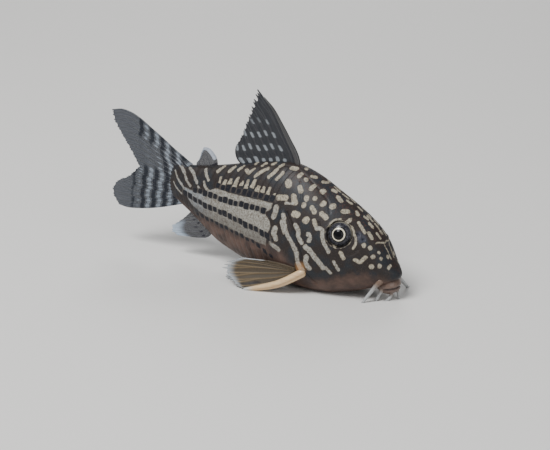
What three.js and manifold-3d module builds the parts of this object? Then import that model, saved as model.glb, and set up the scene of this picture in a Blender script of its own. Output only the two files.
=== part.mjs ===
// Corydoras catfish, life size, resting on the floor with its head lowered.
// Millimetres, +Z up. The nose points to +X, the right flank faces -Y, and the lowest flats lie at Z = 0.
import * as THREE from 'three';
import { mergeVertices } from 'three/addons/utils/BufferGeometryUtils.js';
import Module from 'manifold-3d';

// Driving dimensions. Stations, widths and heights are fractions of the body length:
// a station runs back from the snout, a width runs to the left, and a height runs up.
const LENGTH = 50;
const HEAD_DOWN = THREE.MathUtils.degToRad(4.8);
const FLOOR_LEVEL = -0.6;
const GAP = 0.3;
const FIN_THICKNESS = 0.6;
const FIN_TIP_SHARE = 0.85;
// How far the snout's tip is pressed back, and the station where that ends.
const SNOUT = { blunt: 0.013, reach: 0.1 };

const PROFILES = {
  back: [[0, 0.084], [0.02, 0.110], [0.05, 0.142], [0.1, 0.219], [0.2, 0.294], [0.3, 0.345], [0.4, 0.390],
    [0.47, 0.406], [0.6, 0.388], [0.7, 0.358], [0.8, 0.327], [0.9, 0.300], [1, 0.284]],
  belly: [[0, 0.082], [0.02, 0.058], [0.05, 0.040], [0.1, 0.018], [0.2, -0.021], [0.3, -0.046],
    [0.45, -0.048], [0.6, -0.026], [0.7, -0.008], [0.8, 0.020], [0.9, 0.080], [1, 0.132]],
  side: [[0, 0.003], [0.02, 0.037], [0.05, 0.062], [0.1, 0.092], [0.2, 0.129], [0.3, 0.147], [0.38, 0.150],
    [0.5, 0.138], [0.6, 0.118], [0.7, 0.094], [0.8, 0.068], [0.9, 0.045], [1, 0.022]],
  widest: [[0, 0.083], [0.02, 0.082], [0.05, 0.085], [0.1, 0.100], [0.2, 0.122], [0.3, 0.125],
    [0.45, 0.130], [0.6, 0.145], [0.8, 0.185], [1, 0.208]],
  upperFullness: [[0, 2], [0.1, 1.8], [0.25, 1.65], [0.45, 1.65], [0.6, 1.8], [1, 2]],
  lowerFullness: [[0, 2], [0.1, 2.3], [0.3, 2.7], [0.5, 2.7], [0.8, 2.2], [1, 2]],
};

// The lengths of flesh, each with the number of its rings.
const BODY_PIECES = [
  { name: 'head', from: 0, to: 0.385, rings: 17 },
  { name: 'trunk_front', from: 0.385, to: 0.62, rings: 8 },
  { name: 'trunk_rear', from: 0.62, to: 0.86, rings: 8 },
  { name: 'tail_base', from: 0.86, to: 1, rings: 6 },
];
const RING_SIDES = 28;

const EYE = {
  station: 0.229,
  width: 0.096,
  height: 0.216,
  radius: 2.4,
  depth: 1.7,
  sunk: 0.57,
  turnForward: 14,
  turnUp: 16,
};
const GILL_COVER = {
  station: 0.316,
  height: 0.116,
  halfLength: 0.060,
  halfHeight: 0.098,
  depth: 1.6,
  lean: 14,
};
const MOUTH = { station: 0.056, height: 0.038, halfLength: 2.3, halfWidth: 2.4, halfHeight: 1.8 };

const BARBEL_RADII = { root: 0.5, tip: 0.3 };
const BARBELS = {
  barbel_upper_right: [[0.072, -0.054, 0.054], [0.096, -0.074, 0.010], [0.112, -0.100, -0.026]],
  barbel_lower_right: [[0.062, -0.032, 0.040], [0.069, -0.044, 0.008], [0.077, -0.056, -0.026]],
  barbel_lip_right: [[0.036, -0.012, 0.026], [0.030, -0.020, 0.000], [0.050, -0.038, -0.024]],
  barbel_upper_left: [[0.058, 0.062, 0.056], [0.048, 0.108, 0.014], [0.038, 0.146, -0.022]],
  barbel_lower_left: [[0.062, 0.032, 0.040], [0.064, 0.052, 0.004], [0.070, 0.066, -0.026]],
  barbel_lip_left: [[0.030, 0.012, 0.026], [0.014, 0.016, 0.006], [0.002, 0.012, -0.020]],
};

// Outlines of the fins that stand on the middle line, as station and height.
// A fringe is a stretch between ray tips, with a small notch between each pair of rays.
const DORSAL = {
  front: [[0.500, 0.380], [0.510, 0.425], [0.543, 0.478], [0.580, 0.531], [0.618, 0.580], [0.662, 0.625]],
  fringe: [[0.674, 0.649], [0.692, 0.605], [0.700, 0.568], [0.714, 0.522], [0.725, 0.480], [0.737, 0.447],
    [0.754, 0.412]],
  root: [[0.752, 0.380], [0.726, 0.345], [0.61, 0.36]],
  rays: 8,
};
const DORSAL_SPINE = [[0.480, 0, 0.398], [0.490, 0, 0.430], [0.526, 0, 0.486], [0.565, 0, 0.541],
  [0.605, 0, 0.592], [0.646, 0, 0.625]];
const DORSAL_SPINE_RADII = { root: 0.6, tip: 0.28 };
const ADIPOSE = {
  front: [[0.828, 0.300], [0.838, 0.345], [0.854, 0.363], [0.873, 0.375], [0.897, 0.374]],
  fringe: [[0.906, 0.352], [0.914, 0.322], [0.925, 0.305]],
  root: [[0.930, 0.280], [0.880, 0.275]],
  rays: 0,
};
const CAUDAL_UPPER = {
  front: [[0.985, 0.262], [0.985, 0.308], [1.036, 0.338], [1.085, 0.366], [1.145, 0.397], [1.195, 0.423],
    [1.245, 0.440], [1.285, 0.443], [1.328, 0.434]],
  fringe: [[1.337, 0.424], [1.328, 0.396], [1.292, 0.350], [1.240, 0.290], [1.192, 0.234]],
  root: [[1.100, 0.213], [0.985, 0.209]],
  rays: 7,
};
const CAUDAL_LOWER = {
  front: [[0.985, 0.160], [0.985, 0.124], [1.020, 0.106], [1.086, 0.081], [1.181, 0.054], [1.240, 0.044],
    [1.272, 0.042]],
  fringe: [[1.290, 0.050], [1.308, 0.075], [1.316, 0.105], [1.296, 0.142], [1.246, 0.173], [1.192, 0.222]],
  root: [[1.100, 0.205], [0.985, 0.203]],
  rays: 7,
};
const ANAL = {
  front: [[0.836, 0.055], [0.846, 0.022], [0.890, 0.004], [0.938, -0.004], [0.978, -0.012]],
  fringe: [[1.010, -0.008], [1.030, 0.012], [1.006, 0.036], [0.975, 0.062], [0.945, 0.092]],
  root: [[0.930, 0.120], [0.88, 0.100]],
  rays: 6,
};
const NOTCH = 0.008;
const FAN_NOTCH = 0.02;

// Fan of the right pectoral fin, from the ray beside the spine to the innermost one. The left one mirrors it.
const PECTORAL_ROOTS = [[0.372, -0.146, 0.038], [0.374, -0.150, 0.062]];
const PECTORAL_TIPS = [[0.590, -0.196, -0.054], [0.630, -0.184, -0.044], [0.660, -0.172, -0.034],
  [0.678, -0.166, -0.018], [0.672, -0.162, 0.004], [0.648, -0.160, 0.024], [0.612, -0.158, 0.040],
  [0.570, -0.158, 0.048], [0.520, -0.158, 0.056]];
const PECTORAL_SPINE = [[0.352, -0.143, 0.042], [0.384, -0.158, 0.018], [0.424, -0.171, -0.008],
  [0.489, -0.186, -0.036], [0.556, -0.204, -0.058]];
const PECTORAL_SPINE_RADII = { root: 0.85, tip: 0.4 };
const PECTORAL_ARCH = 0.006;

// Fan of the right pelvic fin, whose rays lie back along the belly.
const PELVIC_ROOTS = [[0.530, -0.098, -0.040], [0.552, -0.060, -0.044]];
const PELVIC_TIPS = [[0.640, -0.146, -0.062], [0.676, -0.134, -0.066], [0.692, -0.112, -0.062],
  [0.680, -0.088, -0.052], [0.650, -0.068, -0.044]];
const PELVIC_ARCH = 0.008;
const FAN_STEPS = 5;
const STRAND_STEPS = 10;
const STRAND_SIDES = 8;
const WHOLE_BODY_RINGS = 44;

const wasm = await Module();
wasm.setup();

// A fish place, given as station, width and height, in the lowered pose.
function place(station, width, height) {
  const pull = SNOUT.blunt * Math.max(0, 1 - station / SNOUT.reach) ** 2;
  const along = -(station + pull) * LENGTH;
  const up = height * LENGTH;
  return new THREE.Vector3(
    along * Math.cos(HEAD_DOWN) + up * Math.sin(HEAD_DOWN),
    width * LENGTH,
    -along * Math.sin(HEAD_DOWN) + up * Math.cos(HEAD_DOWN) - FLOOR_LEVEL,
  );
}

// A smooth curve through a profile's points, even in the root of the station so that the snout is round.
function smooth(points) {
  const roots = points.map(([station]) => Math.sqrt(station));
  const slopes = points.slice(1).map(([, value], i) => (value - points[i][1]) / (roots[i + 1] - roots[i]));
  const tangents = points.map((_, i) => {
    if (i === 0) return slopes[0];
    if (i === points.length - 1) return slopes[i - 1];
    const before = roots[i] - roots[i - 1];
    const after = roots[i + 1] - roots[i];
    return (slopes[i - 1] * after + slopes[i] * before) / (before + after);
  });
  return (station) => {
    const root = Math.sqrt(THREE.MathUtils.clamp(station, 0, 1));
    let i = 0;
    while (i < points.length - 2 && root >= roots[i + 1]) i += 1;
    const span = roots[i + 1] - roots[i];
    const t = (root - roots[i]) / span;
    return (1 + 2 * t) * (1 - t) ** 2 * points[i][1] + t * (1 - t) ** 2 * span * tangents[i]
      + t * t * (3 - 2 * t) * points[i + 1][1] + t * t * (t - 1) * span * tangents[i + 1];
  };
}

const shape = Object.fromEntries(Object.entries(PROFILES).map(([name, points]) => [name, smooth(points)]));

// A point of the body's surface: the angle runs from the belly (-90 degrees) over the left side to the back.
function surface(station, angle, grow = 0) {
  const extra = grow / LENGTH;
  const middle = shape.widest(station);
  const rise = Math.sin(angle);
  const reach = Math.cos(angle);
  const power = 2 / (rise > 0 ? shape.upperFullness(station) : shape.lowerFullness(station));
  const height = rise > 0 ? shape.back(station) + extra - middle : middle - shape.belly(station) + extra;
  const width = shape.side(station) + extra;
  return place(
    station,
    width * Math.sign(reach) * Math.abs(reach) ** power,
    middle + height * Math.sign(rise) * Math.abs(rise) ** power,
  );
}

// A closed geometry from rings of points, each end closed on the ring's own middle.
function loft(rings) {
  const sides = rings[0].length;
  const positions = rings.flat().flatMap((p) => [p.x, p.y, p.z]);
  const index = [];
  for (let r = 0; r < rings.length - 1; r += 1) {
    for (let i = 0; i < sides; i += 1) {
      const a = r * sides + i;
      const b = r * sides + ((i + 1) % sides);
      index.push(a, b, b + sides, a, b + sides, a + sides);
    }
  }
  [0, rings.length - 1].forEach((r) => {
    const middle = rings[r].reduce((sum, p) => sum.add(p), new THREE.Vector3()).divideScalar(sides);
    const centre = positions.length / 3;
    positions.push(middle.x, middle.y, middle.z);
    for (let i = 0; i < sides; i += 1) {
      const a = r * sides + i;
      const b = r * sides + ((i + 1) % sides);
      if (r === 0) index.push(b, a, centre);
      else index.push(a, b, centre);
    }
  });
  const geometry = new THREE.BufferGeometry();
  geometry.setAttribute('position', new THREE.Float32BufferAttribute(positions, 3));
  geometry.setIndex(index);
  return geometry;
}

function bodyLoft(from, to, count, grow = 0) {
  const rings = [];
  for (let r = 0; r <= count; r += 1) {
    const root = THREE.MathUtils.lerp(Math.sqrt(from), Math.sqrt(to), r / count);
    const ring = [];
    for (let i = 0; i < RING_SIDES; i += 1) {
      ring.push(surface(root * root, (-i / RING_SIDES) * 2 * Math.PI, grow));
    }
    rings.push(ring);
  }
  return loft(rings);
}

// A round strand along a curve, thinner towards its tip.
function strand(points, radii) {
  const curve = new THREE.CatmullRomCurve3(points.map((p) => place(...p)));
  const frames = curve.computeFrenetFrames(STRAND_STEPS, false);
  const rings = [];
  for (let k = 0; k <= STRAND_STEPS; k += 1) {
    const centre = curve.getPointAt(k / STRAND_STEPS);
    const radius = THREE.MathUtils.lerp(radii.root, radii.tip, k / STRAND_STEPS);
    const ring = [];
    for (let i = 0; i < STRAND_SIDES; i += 1) {
      const angle = (i / STRAND_SIDES) * 2 * Math.PI;
      ring.push(centre.clone()
        .addScaledVector(frames.normals[k], radius * Math.cos(angle))
        .addScaledVector(frames.binormals[k], radius * Math.sin(angle)));
    }
    rings.push(ring);
  }
  return loft(rings);
}

// A thin sheet through a grid of points, thickened along its mean normal, with walls along its whole edge.
function sheet(grid, thickness) {
  const rows = grid.length;
  const columns = grid[0].length;
  const normal = new THREE.Vector3();
  for (let r = 0; r < rows - 1; r += 1) {
    for (let c = 0; c < columns - 1; c += 1) {
      const along = grid[r + 1][c].clone().sub(grid[r][c + 1]);
      const across = grid[r + 1][c + 1].clone().sub(grid[r][c]);
      normal.add(along.cross(across));
    }
  }
  normal.normalize();
  const layer = (side) => grid.flatMap((row, r) => {
    const half = (thickness / 2) * THREE.MathUtils.lerp(1, FIN_TIP_SHARE, r / (rows - 1));
    return row.map((p) => p.clone().addScaledVector(normal, side * half));
  });
  const rear = rows * columns;
  const at = (r, c) => r * columns + c;
  const index = [];
  for (let r = 0; r < rows - 1; r += 1) {
    for (let c = 0; c < columns - 1; c += 1) {
      const corners = [at(r, c), at(r + 1, c), at(r + 1, c + 1), at(r, c + 1)];
      const [a, b, d, e] = corners;
      const [ra, rb, rd, re] = corners.map((i) => i + rear);
      index.push(a, b, d, a, d, e, ra, rd, rb, ra, re, rd);
    }
  }
  const edge = [];
  for (let r = 0; r < rows - 1; r += 1) edge.push(at(r, 0));
  for (let c = 0; c < columns - 1; c += 1) edge.push(at(rows - 1, c));
  for (let r = rows - 1; r > 0; r -= 1) edge.push(at(r, columns - 1));
  for (let c = columns - 1; c > 0; c -= 1) edge.push(at(0, c));
  edge.forEach((a, i) => {
    const b = edge[(i + 1) % edge.length];
    index.push(b, a, a + rear, b, a + rear, b + rear);
  });
  const positions = [...layer(1), ...layer(-1)].flatMap((p) => [p.x, p.y, p.z]);
  const geometry = new THREE.BufferGeometry();
  geometry.setAttribute('position', new THREE.Float32BufferAttribute(positions, 3));
  geometry.setIndex(index);
  return geometry;
}

// A fan of rays from a short root line to its ray tips, arched a little between root and tip.
function fan(roots, tips, arch) {
  const rootLine = new THREE.LineCurve3(place(...roots[0]), place(...roots[1]));
  const tipLine = new THREE.CatmullRomCurve3(tips.map((p) => place(...p)));
  const columns = 2 * tips.length - 1;
  const grid = [];
  for (let r = 0; r <= FAN_STEPS; r += 1) {
    const t = r / FAN_STEPS;
    const row = [];
    for (let c = 0; c < columns; c += 1) {
      const u = c / (columns - 1);
      const notch = c % 2 === 1 && r === FAN_STEPS ? 1 - FAN_NOTCH : 1;
      const p = rootLine.getPoint(u).lerp(tipLine.getPoint(u), t * notch);
      p.z += arch * LENGTH * Math.sin(Math.PI * t);
      row.push(p);
    }
    grid.push(row);
  }
  return sheet(grid, FIN_THICKNESS);
}

// A flat fin on the middle line, cut from an outline whose free edge has a notch between each pair of rays.
function medianFin(fin) {
  const along = (points, count) => new THREE.SplineCurve(points.map(([s, h]) => new THREE.Vector2(s, h)))
    .getSpacedPoints(count);
  const fringe = along(fin.fringe, Math.max(2 * fin.rays, 6));
  const middle = fringe[0].clone().lerp(fringe[fringe.length - 1], 0.5);
  const rootMiddle = new THREE.Vector2(...fin.root[fin.root.length - 1]);
  const inward = rootMiddle.sub(middle).normalize();
  const notched = (i) => fin.rays > 0 && i % 2 === 1;
  const toothed = fringe.map((p, i) => (notched(i) ? p.clone().addScaledVector(inward, NOTCH) : p));
  const outline = [...along(fin.front, 3 * fin.front.length), ...toothed, ...along(fin.root, 4)];
  const flat = new THREE.Shape(outline.map((p) => new THREE.Vector2(-p.x * LENGTH, p.y * LENGTH)));
  const geometry = new THREE.ExtrudeGeometry(flat, { depth: FIN_THICKNESS, bevelEnabled: false });
  const position = geometry.attributes.position;
  for (let i = 0; i < position.count; i += 1) {
    const p = place(
      -position.getX(i) / LENGTH,
      (FIN_THICKNESS / 2 - position.getZ(i)) / LENGTH,
      position.getY(i) / LENGTH,
    );
    position.setXYZ(i, p.x, p.y, p.z);
  }
  return geometry;
}

// Joins and cuts work on solids with shared vertices.
function toSolid(geometry) {
  const bare = geometry.clone();
  bare.deleteAttribute('normal');
  bare.deleteAttribute('uv');
  const merged = mergeVertices(bare, 1e-4);
  return new wasm.Manifold(new wasm.Mesh({
    numProp: 3,
    vertProperties: merged.attributes.position.array,
    triVerts: new Uint32Array(merged.index.array),
  }));
}

function toGeometry(solid) {
  const mesh = solid.getMesh();
  const geometry = new THREE.BufferGeometry();
  geometry.setAttribute('position', new THREE.BufferAttribute(new Float32Array(mesh.vertProperties), 3));
  geometry.setIndex(new THREE.BufferAttribute(new Uint32Array(mesh.triVerts), 1));
  return geometry;
}

function largest(solid) {
  const pieces = solid.decompose().sort((a, b) => b.volume() - a.volume());
  return pieces[0];
}

// What a piece loses: the flesh that it grows from, its neighbours' room, and all below the floor.
const below = new THREE.BoxGeometry(4 * LENGTH, 2 * LENGTH, LENGTH);
below.translate(-LENGTH / 2, 0, -LENGTH / 2);
const underFloor = toSolid(below);
const fleshRoom = toSolid(bodyLoft(0, 1, WHOLE_BODY_RINGS, GAP));

function cut(geometry, ...takers) {
  const kept = takers.reduce((solid, taker) => solid.subtract(taker), toSolid(geometry));
  return toGeometry(largest(kept.subtract(underFloor)));
}

// An eye is a sphere pressed flat along its own axis, which points out, a little forward and up.
function eyeGeometry(side, grow = 0) {
  const geometry = new THREE.SphereGeometry(1, 20, 12);
  geometry.rotateX(Math.PI / 2);
  geometry.scale(EYE.radius + grow, EYE.radius + grow, EYE.depth + grow);
  const forward = THREE.MathUtils.degToRad(EYE.turnForward);
  const upward = THREE.MathUtils.degToRad(EYE.turnUp);
  const axis = new THREE.Vector3(
    Math.sin(forward) * Math.cos(upward),
    side * Math.cos(forward) * Math.cos(upward),
    Math.sin(upward),
  );
  geometry.applyQuaternion(new THREE.Quaternion().setFromUnitVectors(new THREE.Vector3(0, 0, 1), axis));
  const centre = place(EYE.station, side * EYE.width, EYE.height).addScaledVector(axis, -EYE.sunk);
  geometry.translate(centre.x, centre.y, centre.z);
  return geometry;
}

// The room of a gill cover: a leaning oval bar from the side, as deep as the cover.
function gillRoom(side, shrink = 0) {
  const geometry = new THREE.CylinderGeometry(1, 1, LENGTH, 36);
  geometry.scale(
    GILL_COVER.halfLength * LENGTH - shrink,
    1,
    GILL_COVER.halfHeight * LENGTH - shrink,
  );
  geometry.rotateY(THREE.MathUtils.degToRad(GILL_COVER.lean));
  const surfaceWidth = shape.side(GILL_COVER.station) * LENGTH;
  const centre = place(GILL_COVER.station, 0, GILL_COVER.height);
  const inner = surfaceWidth - GILL_COVER.depth + shrink;
  geometry.translate(centre.x, side * (inner + LENGTH / 2), centre.z);
  return geometry;
}

// Colours of the living fish.
const finish = (color, roughness) => new THREE.MeshStandardMaterial({ color, roughness, metalness: 0 });
const materials = {
  skin: finish(0x5d544e, 0.45),
  eye: finish(0x15120f, 0.15),
  lips: finish(0xb39a86, 0.5),
  barbel: finish(0xd3c3ae, 0.5),
  fin: finish(0x7b818a, 0.5),
  spine: finish(0xe2a55a, 0.4),
};

const fish = new THREE.Group();

function add(name, geometry, material) {
  const mesh = new THREE.Mesh(geometry, material.clone());
  mesh.name = name;
  fish.add(mesh);
}

const sides = [['right', -1], ['left', 1]];
const eyeRooms = sides.map(([, side]) => toSolid(eyeGeometry(side, GAP)));

function buildFlesh() {
  const last = BODY_PIECES.length - 1;
  const half = GAP / 2 / LENGTH;
  BODY_PIECES.forEach((piece, i) => {
    const from = i === 0 ? piece.from : piece.from + half;
    const to = i === last ? piece.to : piece.to - half;
    const geometry = bodyLoft(from, to, piece.rings);
    if (piece.name !== 'head') {
      add(piece.name, cut(geometry), materials.skin);
      return;
    }
    const gillRooms = sides.map(([, side]) => toSolid(gillRoom(side)));
    add(piece.name, cut(geometry, ...eyeRooms, ...gillRooms), materials.skin);
    sides.forEach(([word, side], k) => {
      const cover = toSolid(geometry).intersect(toSolid(gillRoom(side, GAP)));
      add(`gill_cover_${word}`, toGeometry(largest(cover.subtract(eyeRooms[k]))), materials.skin);
    });
  });
  sides.forEach(([word, side]) => add(`eye_${word}`, eyeGeometry(side), materials.eye));
}

function mouthGeometry(grow = 0) {
  const geometry = new THREE.SphereGeometry(1, 16, 10);
  geometry.scale(MOUTH.halfLength + grow, MOUTH.halfWidth + grow, MOUTH.halfHeight + grow);
  const centre = place(MOUTH.station, 0, MOUTH.height);
  geometry.translate(centre.x, centre.y, centre.z);
  return geometry;
}

function buildMouth() {
  add('mouth', cut(mouthGeometry(), fleshRoom), materials.lips);
  const mouthRoom = toSolid(mouthGeometry(GAP));
  Object.entries(BARBELS).forEach(([name, points]) => {
    add(name, cut(strand(points, BARBEL_RADII), fleshRoom, mouthRoom), materials.barbel);
  });
}

function buildMedianFins() {
  const spineRoom = toSolid(strand(DORSAL_SPINE, {
    root: DORSAL_SPINE_RADII.root + GAP,
    tip: DORSAL_SPINE_RADII.tip + GAP,
  }));
  add('dorsal_spine', cut(strand(DORSAL_SPINE, DORSAL_SPINE_RADII), fleshRoom), materials.fin);
  add('dorsal_fin', cut(medianFin(DORSAL), fleshRoom, spineRoom), materials.fin);
  add('adipose_fin', cut(medianFin(ADIPOSE), fleshRoom), materials.fin);
  const lower = toSolid(medianFin(CAUDAL_LOWER));
  add('tail_fin_upper', cut(medianFin(CAUDAL_UPPER), fleshRoom, lower), materials.fin);
  add('tail_fin_lower', cut(medianFin(CAUDAL_LOWER), fleshRoom), materials.fin);
  add('anal_fin', cut(medianFin(ANAL), fleshRoom), materials.fin);
}

function buildPairedFins() {
  sides.forEach(([word, side]) => {
    const toSide = (points) => points.map(([s, w, h]) => [s, -side * w, h]);
    const spinePoints = toSide(PECTORAL_SPINE);
    const spineRoom = toSolid(strand(spinePoints, {
      root: PECTORAL_SPINE_RADII.root + GAP,
      tip: PECTORAL_SPINE_RADII.tip + GAP,
    }));
    add(`pectoral_spine_${word}`, cut(strand(spinePoints, PECTORAL_SPINE_RADII), fleshRoom), materials.spine);
    const pectoral = fan(toSide(PECTORAL_ROOTS), toSide(PECTORAL_TIPS), PECTORAL_ARCH);
    add(`pectoral_fin_${word}`, cut(pectoral, fleshRoom, spineRoom), materials.fin);
    const pelvic = fan(toSide(PELVIC_ROOTS), toSide(PELVIC_TIPS), PELVIC_ARCH);
    add(`pelvic_fin_${word}`, cut(pelvic, fleshRoom, toSolid(pectoral)), materials.fin);
  });
}

buildFlesh();
buildMouth();
buildMedianFins();
buildPairedFins();

// The origin is the middle of the box's underside.
fish.updateMatrixWorld(true);
const box = new THREE.Box3().setFromObject(fish);
fish.position.set(-(box.min.x + box.max.x) / 2, -(box.min.y + box.max.y) / 2, -box.min.z);

export default fish;
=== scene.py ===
"""A life-size corydoras catfish at rest on its belly: skin, scutes, fins, eyes, lips and feelers.

Shapes are worked out in millimetres from the fish's own measures: a station is the share of the body
length back from the snout, a width is the share to the left and a height the share up. A place around
the body is a number from -1 to 1: 0 on the back, 1 and -1 on the belly, positive on the right flank.
"""
import logging
import math
from dataclasses import dataclass, field
from enum import Enum
from typing import Sequence

import bpy
import numpy as np
from mathutils import Matrix, Vector

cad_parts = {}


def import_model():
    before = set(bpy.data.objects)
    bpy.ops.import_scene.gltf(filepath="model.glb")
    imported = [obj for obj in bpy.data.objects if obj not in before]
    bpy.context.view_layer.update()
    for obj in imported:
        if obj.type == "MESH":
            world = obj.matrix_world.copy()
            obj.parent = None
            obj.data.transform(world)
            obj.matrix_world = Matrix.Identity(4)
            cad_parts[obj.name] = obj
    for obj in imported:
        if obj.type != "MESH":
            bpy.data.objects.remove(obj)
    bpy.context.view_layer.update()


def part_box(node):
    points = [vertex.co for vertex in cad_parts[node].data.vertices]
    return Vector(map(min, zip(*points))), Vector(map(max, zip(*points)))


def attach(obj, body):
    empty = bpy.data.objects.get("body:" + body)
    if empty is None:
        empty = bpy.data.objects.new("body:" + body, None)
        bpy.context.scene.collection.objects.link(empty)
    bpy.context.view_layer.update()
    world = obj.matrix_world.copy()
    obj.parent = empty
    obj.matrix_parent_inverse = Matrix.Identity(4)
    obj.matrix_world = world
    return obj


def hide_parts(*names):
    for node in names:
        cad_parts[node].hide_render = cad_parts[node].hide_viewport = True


LOG = logging.getLogger("corydoras")
MM = 0.001
LENGTH = 50.0
HEAD_DOWN = math.radians(4.8)
FLOOR_LIFT = 0.6
SNOUT_BLUNT = 0.013
SNOUT_REACH = 0.1
TINY = 1e-12
BARELY = 1e-6
FAR = 9.0
MARK_REACH = 1.2
STEPS_PER_POINT = 5
STROKE_SWELL = 0.16
CAP_PATCH = 0.004
TUBE_LOW = (0.01, 0.01)
TUBE_HIGH = (0.97, 0.99)
TUBE_CAPS = ((0.985, 0.7), (0.985, 0.3))
BODY = "root"
BAKE_MAP = "OFBake"

Place = tuple[float, float]
Place3 = tuple[float, float, float]
Rgb = tuple[float, float, float]
Array = np.ndarray
Material = bpy.types.Material
Fields = dict[str, Array]


class Side(Enum):
    """A side of the fish: its word and the sign of the places around it."""

    RIGHT = ("right", 1.0)
    LEFT = ("left", -1.0)

    @property
    def word(self) -> str:
        """The side's name in piece names."""
        return self.value[0]

    @property
    def sign(self) -> float:
        """1 on the right flank and -1 on the left."""
        return self.value[1]


def smooth_step(low: float, high: float, value: Array) -> Array:
    """Rises smoothly from 0 at low to 1 at high; low may be the larger."""
    t = np.clip((np.asarray(value, float) - low) / (high - low), 0.0, 1.0)
    return t * t * (3.0 - 2.0 * t)


def unit(vectors: Array) -> Array:
    """The vectors at length one."""
    return vectors / np.maximum(np.linalg.norm(vectors, axis=-1, keepdims=True), TINY)


def between_knots(
    t: Array, span: Array, values: Array, slopes: Array, i: Array,
) -> Array:
    """A smooth cubic curve between knots.

    Args:
        t: Shares of the span past the knot before each place.
        span: Widths of the spans.
        values: The curve's values at the knots.
        slopes: Its slopes there.
        i: The number of the knot before each place.

    Returns:
        The curve's values.
    """
    return (
        (1 + 2 * t) * (1 - t) ** 2 * values[i]
        + t * (1 - t) ** 2 * span * slopes[i]
        + t * t * (3 - 2 * t) * values[i + 1]
        + t * t * (t - 1) * span * slopes[i + 1]
    )


@dataclass(frozen=True)
class Profile:
    """A curve through points of station and value, smooth in the root of the station."""

    points: tuple[Place, ...]

    def __call__(self, station: Array) -> Array:
        """Reads the curve.

        Args:
            station: Stations along the body.

        Returns:
            The curve's value at each of them.
        """
        stations, values = np.array(self.points, float).T
        roots = np.sqrt(stations)
        slopes = np.gradient(values, roots)
        root = np.clip(np.sqrt(np.maximum(station, 0.0)), roots[0], roots[-1])
        i = np.clip(np.searchsorted(roots, root, side="right") - 1, 0, len(roots) - 2)
        span = roots[i + 1] - roots[i]
        return between_knots((root - roots[i]) / span, span, values, slopes, i)


@dataclass
class Path:
    """A smooth line through a few points in two or three dimensions, read by its length share."""

    points: Sequence[Sequence[float]]

    def __call__(self, t: Array) -> Array:
        """Reads the line.

        Args:
            t: Shares of the length, from 0 at the first point to 1 at the last.

        Returns:
            The points there, one row each.
        """
        p = np.array(self.points, float)
        t = np.clip(np.asarray(t, float), 0.0, 1.0)
        if len(p) == 1:
            return np.broadcast_to(p[0], (*t.shape, p.shape[1])).copy()
        knots = np.r_[0.0, np.cumsum(np.linalg.norm(np.diff(p, axis=0), axis=1))]
        knots /= knots[-1]
        if len(p) == 2:
            return p[0] + (p[1] - p[0]) * t[..., None]
        slopes = np.gradient(p, knots, axis=0)
        i = np.clip(np.searchsorted(knots, t, side="right") - 1, 0, len(knots) - 2)
        span = (knots[i + 1] - knots[i])[..., None]
        return between_knots((t[..., None] - knots[i][..., None]) / span, span, p, slopes, i)


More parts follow.
